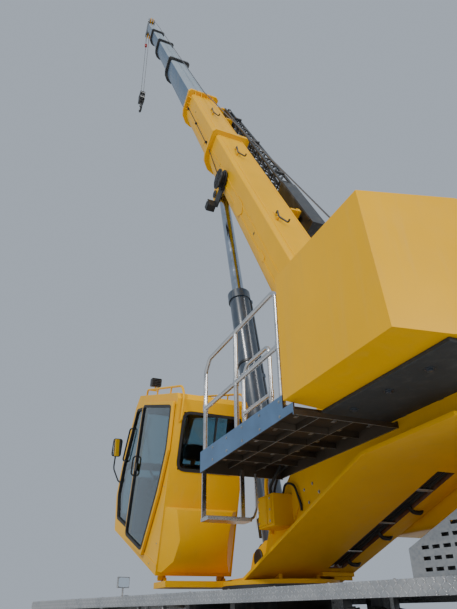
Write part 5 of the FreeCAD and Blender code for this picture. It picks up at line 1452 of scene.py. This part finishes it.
class CRANE_OT_lift_fittings(bpy.types.Operator):
    """Gland bolts, valve block, pipe unions and pin caps of the lift cylinder"""
    bl_idname = "crane.lift_fittings"
    bl_label = "Lift cylinder fittings"

    def execute(self, context):
        bolts = bolt_circle((3.93, 0, 0), 0.145, 12, AHEAD, 0.011, 0.014)
        piece("gland_bolts", bolts, "lift_barrel", "dark_steel", "bolt")
        wiper = turned([(0.094, 3.928), (0.118, 3.928), (0.112, 3.952), (0.094, 3.956)], 36, "X")
        piece("gland_wiper", wiper, "lift_barrel", "black_plastic", "seal")
        bands = [turned([(0.154, x), (0.166, x + 0.005), (0.166, x + 0.045), (0.154, x + 0.05)], 40, "X")
            for x in (1.35, 2.55)]
        lead = pipe([(0.5, 0.05, -0.2), (0.62, 0.05, -0.2), (0.7, 0.02, -0.175), (3.78, 0.02, -0.175)],
            0.014, 0.05, 10)
        valve = block((0.3, -0.085, -0.245), (0.52, 0.085, -0.15))
        piece("lift_valve", [valve, *bands, lead], "lift_barrel", "dark_steel", "black_paint", 0.004)
        caps = []
        for side in (-1, 1):
            caps.append(disc_bar(0.095, (0, side * 0.24, 1.95), (0, side * 0.262, 1.95), 28, 0.004))
        piece("lift_foot_caps", caps, "upper", "cast")
        lugs = []
        for side, turn in BOTH_SIDES:
            lugs.append(disc_bar(0.075, (6.08, side * 0.174, -0.532), (6.08, side * 0.192, -0.532), 24,
                0.004))
            lugs += row_of_bolts([(6.04, side * 0.192, -0.532), (6.12, side * 0.192, -0.532)], turn, 0.01,
                0.01)
        piece("lift_eye_caps", lugs, "boom", "cast")
        return {"FINISHED"}


# Upper part

class CRANE_OT_platform_fittings(bpy.types.Operator):
    """Brackets under the walkway, its rails' feet and clamps, and the chequered tread on top"""
    bl_idname = "crane.platform_fittings"
    bl_label = "Platform fittings"

    def execute(self, context):
        tabs, feet, bolts = [], [], []
        for k in range(10):
            x = -0.93 - 0.165 * k
            for j, y in enumerate((0.44, 0.6, 0.76, 0.92, 1.08, 1.19)):
                if (j + k) % 2:
                    tabs.append(placed(block((-0.02, -0.002, -0.034), (0.02, 0.002, 0.0)),
                        moved(x, y, 2.701)))
                    tabs.append(block((x - 0.02, y, 2.667), (x + 0.02, y + 0.026, 2.671)))
        piece("platform_tabs", tabs, "upper", "platform_alloy", "guard_metal")
        outer, inner = 1.2125, 0.7925
        for x, y in ((-0.895, outer), (-1.64, outer), (-2.44, outer), (-0.895, inner), (-1.5, inner)):
            feet.append(pad((x - 0.05, y - 0.04), (x + 0.05, min(y + 0.04, 1.234)), 0.012, 2.711, 2.72, "Z"))
            feet.append(placed(turned(oblong(0.0212, 0, 0.029, 0.05), 20), moved(x, y, 2.719)))
            bolts += row_of_bolts([(x - 0.038, y - 0.028, 2.72), (x + 0.038, y - 0.028, 2.72)], STRAIGHT,
                0.007, 0.008)
        for x, y in ((-1.64, outer), (-0.895, outer), (-2.44, outer), (-0.895, inner), (-1.5, inner)):
            feet.append(placed(turned(oblong(0.0212, -0.035, 0.0265, 0.035), 20), moved(x, y, 2.712 + 0.495)))
        piece("rail_feet", feet, "upper", "rail_tube", soften=0.001)
        for x in np.arange(-2.45, -0.87, 0.32):
            bolts += row_of_bolts([(x, 1.246, 2.64), (x, 1.246, 2.75)], OUT_LEFT, 0.008, 0.006)
        piece("platform_bolts", bolts, "upper", "rail_tube", "bolt")
        tread = block((-2.498, 0.372, 2.7121), (-0.864, 1.232, 2.715))
        piece("platform_tread", tread, "upper", "platform_alloy", "deck_plate")
        ribs = [disc_bar(0.006, (-0.99 + 0.03 * k, 0.802, 2.192), (-0.99 + 0.03 * k, 1.228, 2.192), 6)
            for k in range(5)]
        piece("step_ribs", ribs, "upper", "rail_tube")
        return {"FINISHED"}


class CRANE_OT_upper_fittings(bpy.types.Operator):
    """Hoses in the belly's slot, the valve cover's lid, pivot keepers, cooler grille and hinges"""
    bl_idname = "crane.upper_fittings"
    bl_label = "Upper frame fittings"

    def execute(self, context):
        hoses = []
        for y, radius in ((-0.285, 0.022), (-0.335, 0.018), (-0.385, 0.022)):
            path = [(x, y, belly_level(x) + 0.038) for x in (-0.585, -1.0, -1.6, -2.285)]
            hoses.append(pipe(path, radius, 0.1, 12))
        for x in (-0.7, -1.25, -1.72):
            z = belly_level(x)
            hoses.append(pipe([(x, -0.385, z + 0.05), (x, -0.43, z - 0.02), (x + 0.01, -0.53, z - 0.022),
                (x + 0.01, -0.55, z + 0.01)], 0.018, 0.04, 12))
        hoses.append(pipe([(-0.8, 0.45, 2.424), (-0.79, 0.43, 2.52), (-0.86, 0.41, 2.66), (-1.05, 0.4, 2.69)],
            0.013, 0.09, 10))
        hoses.append(pipe([(-0.86, 0.5, 2.424), (-0.85, 0.52, 2.5), (-0.95, 0.5, 2.6), (-0.98, 0.45, 2.695)],
            0.015, 0.09, 10))
        hoses.append(pipe([(-0.93, 0.42, 2.424), (-0.98, 0.42, 2.53), (-1.12, 0.4, 2.5), (-1.2, 0.385, 2.3),
            (-1.19, 0.38, 2.25)], 0.011, 0.08, 10))
        piece("upper_hoses", hoses, "upper", "black_plastic", "hose")
        front = belly_level(-0.46)
        stand = [block((-0.5, -0.6, front - 0.035), (-0.4, -0.22, front + 0.004)),
            block((-0.49, -0.58, front - 0.07), (-0.475, -0.36, front - 0.033)),
            block((-0.43, -0.54, front - 0.055), (-0.41, -0.44, front - 0.033))]
        piece("slot_bracket", stand, "upper", "crane_yellow", soften=0.003)
        clips = [block((x - 0.03, -0.425, belly_level(x) + 0.01), (x + 0.03, -0.255,
            belly_level(x) + 0.02)) for x in (-0.9, -1.45, -2.0)]
        clips += [placed(turned(oblong(0.024, -0.02, 0.034, 0.02), 16),
            moved(-0.56, y, belly_level(-0.6) + 0.03) @ rotation("Y", 90)) for y in (-0.285, -0.385)]
        piece("slot_clips", clips, "upper", "dark_steel", "bolt", 0.002)
        conduit = pipe([(-0.6, 0.395, 2.12), (-0.6, 0.42, 2.35), (-0.66, 0.46, 2.6), (-0.72, 0.46, 2.7)],
            0.02, 0.12, 12)
        seams = [block((x - 0.001, 0.598, 2.15), (x + 0.001, 0.6015, 2.41)) for x in (-0.7, -0.9, -1.0, -1.02)]
        lid = block((-0.935, 0.6, 2.155), (-0.925, 0.606, 2.405))
        plate = slab([(-1.16, 2.3), (-1.02, 2.16), (-1.02, 2.4), (-1.1, 2.46)], 0.37, 0.382)
        piece("valve_conduit", [conduit, *seams, lid, plate], "upper", "crane_yellow", soften=0.002)
        bolts = row_of_bolts([(x, 0.6, z) for x in (-0.99, -0.76) for z in (2.18, 2.28, 2.38)], OUT_LEFT,
            0.008, 0.007)
        for side, turn in BOTH_SIDES:
            bolts += bolt_circle((-1.85, side * 0.4, 3.16), 0.115, 8, turn, 0.012, 0.012, 0.5)
        bolts += row_of_bolts([(x, 0.37, z) for x, z in ((-1.25, 2.42), (-1.32, 2.3), (-1.4, 2.45),
            (-1.5, 2.36))], OUT_LEFT, 0.01, 0.01)
        piece("upper_bolts", bolts, "upper", "crane_yellow", "bolt")
        keeper = [disc_bar(0.07, (-1.85, side * 0.409, 3.16), (-1.85, side * 0.425, 3.16), 28, 0.004)
            for side in (-1, 1)]
        piece("pivot_caps", keeper, "upper", "cast")
        slats = [placed(block((-0.62, -0.003, -0.02), (0.62, 0.003, 0.02)), moved(-1.75, -1.25,
            2.15 + 0.042 * k) @ rotation("X", 30)) for k in range(11)]
        frame_ring = rim_band(rounded_outline(oblong(-2.4, 2.115, -1.1, 2.605), 0.03), 0.035, -1.262, -1.236)
        piece("cooler_grille", [frame_ring, *slats], "upper", "crane_yellow", "black_paint", 0.001)
        fan = [turned(oblong(r, 2.07, r + 0.006, 2.081), 40) for r in (0.06, 0.12, 0.18, 0.24)]
        fan += [disc_bar(0.004, (0.05 * math.cos(a), 0.05 * math.sin(a), 2.074), (0.245 * math.cos(a),
            0.245 * math.sin(a), 2.074), 6) for a in angles(8)]
        piece("cooler_fan_guard", placed(joined(*fan), moved(-1.75, -0.945, 0)), "upper", "black_plastic",
            "black_paint")
        return {"FINISHED"}


class CRANE_OT_weight_fittings(bpy.types.Operator):
    """Lifting eyes and floor bolts of the counterweight"""
    bl_idname = "crane.weight_fittings"
    bl_label = "Counterweight fittings"

    def execute(self, context):
        eyes = []
        for y in (-0.95, 0.95):
            for x in (-2.75, -3.45):
                ring = turned(oblong(0.045, -0.012, 0.08, 0.012), 24, "Y")
                eyes.append(placed(ring, moved(x, y, 3.765)))
        piece("weight_eyes", eyes, "upper", "crane_yellow", soften=0.003)
        bolts = row_of_bolts([(x, y, 2.665) for x in (-2.72, -3.1, -3.48) for y in (-0.8, -0.35, 0.35, 0.8)],
            UPSIDE_DOWN, 0.022, 0.016)
        piece("weight_bolts", bolts, "upper", "dark_steel")
        return {"FINISHED"}


class CRANE_OT_cab_fittings(bpy.types.Operator):
    """Roof rails, work lamp, mirror, wiper, handles, front step and screws of the cab"""
    bl_idname = "crane.cab_fittings"
    bl_label = "Cab fittings"

    def execute(self, context):
        top, rails = 1.95, []
        for y in (1.175, 0.405):
            rails.append(pipe([(1.78, y, top - 0.002), (1.78, y, top + 0.09), (0.1, y, top + 0.09),
                (-0.03, y, top - 0.02), (-0.03, y, top - 0.3), (0.002, y, top - 0.32)], 0.014, 0.1, 12))
            for u in (0.55, 1.2):
                rails.append(disc_bar(0.011, (u, y, top - 0.002), (u, y, top + 0.09), 10))
        rails.append(disc_bar(0.009, (1.7, 1.09, top + 0.085), (1.7, 1.09, top + 0.165), 10))
        rails.append(block((1.685, 1.06, top + 0.08), (1.715, 1.18, top + 0.096)))
        piece("roof_rails", rails, "cab", "crane_yellow", replaces=("cab_roof_rails",))
        place = CAB @ moved(1.665, 1.09, top + 0.21) @ rotation("Y", 8)
        lamp = pad((-0.075, -0.06), (0.075, 0.06), 0.018, 0.0, 0.085, "X")
        fins = [block((-0.018, -0.06, -0.048 + 0.024 * k), (0.002, 0.06, -0.04 + 0.024 * k)) for k in range(5)]
        piece("work_lamp", [lamp, *fins], "cab", "lamp_body", soften=0.003, where=place)
        lens = pad((-0.066, -0.05), (0.066, 0.05), 0.016, 0.083, 0.089, "X")
        piece("work_lamp_lens", lens, "cab", "lamp_body", "lens_clear", where=place)
        outline = rounded_outline(oblong(1.215, 1.0, 1.365, 1.28), 0.045)
        back = slab(inset(outline, 0.018), 2.836, 2.852, "X")
        arm = pipe([(2.44, 1.232, 0.66), (2.5, 1.262, 0.67), (2.83, 1.295, 0.82), (2.83, 1.295, 1.01)], 0.012,
            0.06, 12)
        piece("mirror_head", [slab(outline, 2.81, 2.838, "X"), back, arm], "cab", "black_plastic",
            soften=0.006, replaces=("cab_mirror",))
        piece("mirror_glass", slab(inset(outline, 0.01), 2.806, 2.811, "X"), "cab", "black_plastic", "mirror")
        low = (cab_front(0.93) + 0.015, 0.79, 0.93)
        tip = (cab_front(1.45) + 0.022, 0.98, 1.45)
        wiper = [pipe([low, (cab_front(1.1) + 0.03, 0.85, 1.1), tip], 0.007, 0.05, 8),
            disc_bar(0.024, (low[0] - 0.03, low[1], low[2]), (low[0] + 0.012, low[1], low[2]), 16, 0.003),
            disc_bar(0.008, (cab_front(1.12) + 0.01, 0.99, 1.12), (cab_front(1.66) + 0.01, 0.97, 1.66), 8)]
        piece("front_wiper", wiper, "cab", "black_plastic")
        handle = [pipe([(1.478, 1.272, 0.86), (1.478, 1.315, 0.88), (1.478, 1.315, 1.1),
            (1.478, 1.272, 1.12)], 0.01, 0.03, 10), pad((1.36, 0.93), (1.46, 1.03), 0.02, 1.2745, 1.281)]
        piece("door_handle", handle, "cab_door", "black_plastic", soften=0.002)
        grab = [pipe([(2.3, 1.232, 0.98), (2.34, 1.27, 0.99), (2.14, 1.27, 1.46), (2.1, 1.232, 1.47)], 0.012,
            0.04, 12)]
        piece("cab_grab_rail", grab, "cab", "black_plastic")
        split = [block((0.052, 0.7, 1.1), (0.062, 0.725, 1.74)), block((-0.002, 0.72, 1.1),
            (0.01, 0.74, 1.74))]
        piece("rear_window_split", split, "cab", "black_plastic", "seal")
        step = [block((2.2, 0.5, -0.055), (2.42, 1.05, -0.03)), block((2.24, 0.52, -0.032),
            (2.3, 0.56, 0.004)), block((2.24, 0.99, -0.032), (2.3, 1.03, 0.004))]
        piece("cab_front_step", step, "cab", "black_plastic", soften=0.006)
        screws = row_of_bolts([(u, 1.2355, w) for u, w in ((0.1, 0.3), (0.1, 0.9), (0.1, 1.5), (0.3, 0.05))],
            OUT_LEFT, 0.007, 0.006)
        screws += row_of_bolts([(u, 0.345, w) for u in (0.3, 0.9, 1.5, 2.1) for w in (0.1, 0.75)], OUT_RIGHT,
            0.007, 0.006)
        piece("cab_screws", screws, "cab", "crane_yellow", "bolt")
        return {"FINISHED"}


# Carrier

DECK_TOP = 1.62
OUTRIGGER_MIDDLE, OUTRIGGER_APART = 3.25, 0.1425


def beam_frame(corner):
    """In the middle of an outrigger beam along the carrier, with +Y towards its foot."""
    end, side = CORNERS[corner]
    place = shifted(CARRIER, end * (OUTRIGGER_MIDDLE - side * OUTRIGGER_APART), 0, 0)
    return place if side > 0 else place @ rotation("Z", 180)


class CRANE_OT_wheel_fittings(bpy.types.Operator):
    """Wheel nuts, hub covers and the axles' flanges"""
    bl_idname = "crane.wheel_fittings"
    bl_label = "Wheel fittings"

    def execute(self, context):
        for corner, (along, across) in CORNERS.items():
            place = wheel_frame(corner)
            if across < 0:
                place = place @ rotation("Z", 180)
            nuts = bolt_circle((0, 0.032, 0), 0.215, 12, OUT_LEFT, 0.017, 0.024)
            nuts += bolt_circle((0, 0.152, 0), 0.1, 8, OUT_LEFT, 0.009, 0.01)
            cover = turned([(0.0001, 0.13), (0.132, 0.13), (0.132, 0.146), (0.12, 0.152), (0.072, 0.158),
                (0.06, 0.18), (0.0001, 0.184)], 32, "Y")
            piece("wheel_nuts_" + corner, nuts, "wheel_" + corner, "crane_yellow", "bolt", where=place)
            piece("hub_cover_" + corner, cover, "wheel_" + corner, "crane_yellow", where=place)
        flanges = []
        for x in (-HALF_BASE, HALF_BASE):
            ring = turned(oblong(0.225, -0.018, 0.262, 0.018), 40, "X")
            flanges.append(placed(ring, moved(x, 0, WHEEL_LEVEL)))
            for turn, side in ((AHEAD, 1), (BEHIND, -1)):
                flanges += bolt_circle((x + side * 0.018, 0, WHEEL_LEVEL), 0.248, 16, turn, 0.009, 0.009)
        piece("axle_flanges", flanges, "carrier", "cast")
        return {"FINISHED"}


class CRANE_OT_carrier_fittings(bpy.types.Operator):
    """Lamp lenses, deck seams and bolts, outrigger caps, tank caps, hood louvres and the mirror"""
    bl_idname = "crane.carrier_fittings"
    bl_label = "Carrier fittings"

    def execute(self, context):
        clear, amber, red = [], [], []
        for side in (-1, 1):
            y = side * 1.05
            clear.append(pad((y - 0.045, 1.537), (y + 0.045, 1.593), 0.01, 3.609, 3.618, "X"))
            a, b = sorted((y + side * 0.05, y + side * 0.085))
            amber.append(pad((a, 1.537), (b, 1.593), 0.008, 3.609, 3.618, "X"))
            red.append(pad((y - 0.055, 1.537), (y + 0.01, 1.593), 0.008, -3.618, -3.609, "X"))
            amber.append(pad((y + 0.015, 1.537), (y + 0.055, 1.593), 0.008, -3.618, -3.609, "X"))
        piece("lamp_lenses", clear, "carrier", "lamp_body", "lens_clear")
        piece("turn_lenses", amber, "carrier", "lamp_body", "lens_amber")
        piece("tail_lenses", red, "carrier", "lamp_body", "lens_red")
        seams = [block((x, -1.255, 1.6195), (x + 0.012, 1.255, 1.6235)) for x in (-1.15, 1.15, 2.35)]
        for x, y in ((1.75, 0.85), (2.85, -0.85), (1.75, -0.85)):
            seams.append(rim_band(oblong(x - 0.3, y - 0.25, x + 0.3, y + 0.25), 0.014, 1.6195, 1.624, "Z"))
            seams.append(pipe([(x - 0.06, y, 1.618), (x - 0.05, y, 1.645), (x + 0.05, y, 1.645),
                (x + 0.06, y, 1.618)], 0.006, 0.02, 8))
        piece("deck_seams", seams, "carrier", "deck_plate", "guard_metal")
        covered = (((-0.75, 0.75), (-0.7, 0.7)), ((-9.0, -2.05), (-0.5, 0.5)), ((-9.0, -2.4), (0.7, 9.0)))
        spots = [(x, side * y, DECK_TOP) for x in np.arange(-3.4, 3.5, 0.56) for side in (-1, 1)
            for y in (1.215, 0.46) if not any(a < x < b and c < side * y < d for (a, b), (c, d) in covered)]
        bolts = row_of_bolts(spots, STRAIGHT, 0.009, 0.007)
        piece("deck_bolts", bolts, "carrier", "deck_plate", "bolt")
        out_to_jack = moved(0, 1.172, 0)
        for corner in CORNERS:
            place = beam_frame(corner)
            top = [turned([(0.0001, 1.478), (0.088, 1.478), (0.088, 1.498), (0.06, 1.506), (0.0001, 1.508)],
                28)]
            top += bolt_circle((0, 0, 1.5), 0.07, 8, STRAIGHT, 0.008, 0.008)
            collar = turned([(0.0755, 0.562), (0.09, 0.562), (0.09, 0.6), (0.0755, 0.604)], 28)
            piece("jack_cap_" + corner, [placed(joined(*top, collar), out_to_jack)], "beam_" + corner,
                "crane_yellow", where=place)
            foot = placed(turned([(0.052, 0.505), (0.068, 0.5), (0.068, 0.545), (0.052, 0.55)], 24), out_to_jack)
            piece("jack_foot_ring_" + corner, foot, "jack_" + corner, "dark_steel", "bolt", where=place)
        cap = turned([(0.0001, 1.438), (0.065, 1.438), (0.065, 1.47), (0.05, 1.48), (0.0001, 1.482)], 24)
        caps = [placed(cap, moved(-0.2, y, 0)) for y in (-0.92, 0.92)]
        piece("tank_caps", caps, "carrier", "frame_dark", "black_paint")
        slat = block((-0.16, -0.014, -0.002), (0.16, 0.014, 0.004))
        louvres = [placed(slat, moved(x, y, 1.722) @ rotation("X", 22))
            for x in (-3.1, -2.45) for y in np.arange(-0.3, 0.31, 0.06)]
        handle = pipe([(-2.78, y, z) for y, z in ((-0.1, 1.719), (-0.09, 1.75), (0.09, 1.75), (0.1, 1.719))],
            0.008, 0.02, 8)
        piece("hood_louvres", [*louvres, handle], "carrier", "crane_yellow", "black_paint", 0.001)
        shield = [(-3.425, 1.624), (-2.455, 1.624), (-2.455, 1.77), (-3.01, 2.05), (-3.425, 2.05)]
        piece("heat_shield", slab(rounded_outline(shield, 0.01), 1.2, 1.206), "carrier", "cast",
            "black_paint")
        glass = pad((-0.15, 1.812), (0.03, 1.938), 0.03, 3.4185, 3.4255, "X")
        piece("deck_mirror_glass", glass, "carrier", "deck_plate", "mirror")
        ring = bolt_circle((0, 0, 1.4495), 0.66, 36, STRAIGHT, 0.014, 0.018)
        piece("ring_bolts", ring, "carrier", "cast", "bolt")
        return {"FINISHED"}


# Studio

class CRANE_OT_studio(bpy.types.Operator):
    """Pale floor, soft lights and the camera"""
    bl_idname = "crane.studio"
    bl_label = "Studio"

    def execute(self, context):
        studio = context.scene.crane_studio
        half = studio.floor / 2
        ground = bpy.data.meshes.new("studio_floor")
        ground.from_pydata([(-half, -half, 0), (half, -half, 0), (half, half, 0), (-half, half, 0)], [],
                           [(0, 1, 2, 3)])
        floor = bpy.data.objects.new("studio_floor", ground)
        made, tree, shader = material("Studio floor")
        cloud = noise(tree, object_place(tree), 0.6, 5.0)
        linked(tree, mixed(tree, spread(tree, cloud, 0.3, 0.7), (0.66, 0.66, 0.65), (0.72, 0.72, 0.71)),
               shader.inputs["Base Color"])
        linked(tree, spread(tree, cloud, 0.3, 0.7, 0.75, 0.9), shader.inputs["Roughness"])
        ground.materials.append(made)
        context.scene.collection.objects.link(floor)
        world = bpy.data.worlds.new("Studio")
        world.use_nodes = True
        sky = world.node_tree.nodes["Background"]
        sky.inputs["Color"].default_value = (0.74, 0.84, 0.97, 1)
        sky.inputs["Strength"].default_value = 0.55
        context.scene.world = world
        self.light(context, "Key", (-0.42, 0.66, 0.62), 1.7, 9.0, (1.0, 0.97, 0.92))
        self.light(context, "Side", (-0.90, -0.20, 0.40), 1.5, 25.0, (1.0, 0.98, 0.95))
        self.camera(context, studio)
        return {"FINISHED"}

    def light(self, context, name, way, strength, spread_angle, colour):
        """A sun from a way given ahead, left and up in the upper part's frame."""
        data = bpy.data.lights.new(name, "SUN")
        data.energy, data.angle, data.color = strength, math.radians(spread_angle), colour
        lamp = bpy.data.objects.new(name, data)
        way = Vector(UPPER[:3, :3] @ np.array(way))
        lamp.rotation_mode = "QUATERNION"
        lamp.rotation_quaternion = way.to_track_quat("Z", "Y")
        context.scene.collection.objects.link(lamp)

    def camera(self, context, studio):
        turn, pitch, roll = studio.camera_turn, studio.camera_pitch, studio.camera_roll
        ahead = np.array([math.cos(pitch) * math.cos(turn), -math.cos(pitch) * math.sin(turn), math.sin(pitch)])
        right = np.array([-math.sin(turn), -math.cos(turn), 0.0])
        up = np.cross(right, ahead)
        across = math.cos(roll) * right + math.sin(roll) * up
        above = -math.sin(roll) * right + math.cos(roll) * up
        matrix = np.eye(4)
        for column, way in enumerate((across, above, -ahead)):
            matrix[:3, column] = UPPER[:3, :3] @ way
        matrix[:3, 3] = (UPPER @ np.array((*studio.camera_place, 1.0)))[:3]
        data = bpy.data.cameras.new("Camera")
        data.sensor_width = 36.0
        data.lens = studio.reach * 36.0
        data.clip_end = 500.0
        camera = bpy.data.objects.new("Camera", data)
        camera.matrix_world = Matrix(matrix.tolist())
        context.scene.collection.objects.link(camera)
        context.scene.camera = camera


class CRANE_PT_sidebar(bpy.types.Panel):
    """Lists the steps and the sizes and colours they use"""
    bl_idname = "CRANE_PT_sidebar"
    bl_label = "Rough terrain crane"
    bl_space_type = "VIEW_3D"
    bl_region_type = "UI"
    bl_category = "Crane"

    def draw(self, context):
        column = self.layout.column()
        for group in (context.scene.crane_colours, context.scene.crane_sizes, context.scene.crane_studio):
            for name in group.bl_rna.properties.keys():
                if name not in ("rna_type", "name"):
                    column.prop(group, name)
        for step in STEPS:
            column.operator(step.bl_idname)


STEPS = (CRANE_OT_studio, CRANE_OT_finishes, CRANE_OT_soft_edges, CRANE_OT_tyres, CRANE_OT_wheel_fittings,
         CRANE_OT_carrier_fittings, CRANE_OT_upper_fittings, CRANE_OT_platform_fittings,
         CRANE_OT_weight_fittings, CRANE_OT_hoist_rope, CRANE_OT_cab_seals, CRANE_OT_cab_fittings,
         CRANE_OT_cab_seat, CRANE_OT_cab_controls, CRANE_OT_boom_fittings, CRANE_OT_boom_head_fittings,
         CRANE_OT_reel_and_jib, CRANE_OT_lift_fittings)
GROUP_CLASSES = (CraneColours, CraneSizes, CraneStudio)


def register():
    for kind in (*GROUP_CLASSES, *STEPS, CRANE_PT_sidebar):
        bpy.utils.register_class(kind)
    bpy.types.Scene.crane_colours = bpy.props.PointerProperty(type=CraneColours)
    bpy.types.Scene.crane_sizes = bpy.props.PointerProperty(type=CraneSizes)
    bpy.types.Scene.crane_studio = bpy.props.PointerProperty(type=CraneStudio)


def unregister():
    for name in ("crane_colours", "crane_sizes", "crane_studio"):
        delattr(bpy.types.Scene, name)
    for kind in (CRANE_PT_sidebar, *STEPS[::-1], *GROUP_CLASSES[::-1]):
        bpy.utils.unregister_class(kind)


def main():
    register()
    for step in STEPS:
        name = step.bl_idname.split(".")[1]
        if getattr(bpy.ops.crane, name)() != {"FINISHED"}:
            raise RuntimeError(step.bl_label + " was not finished")


if __name__ == "__main__":
    main()
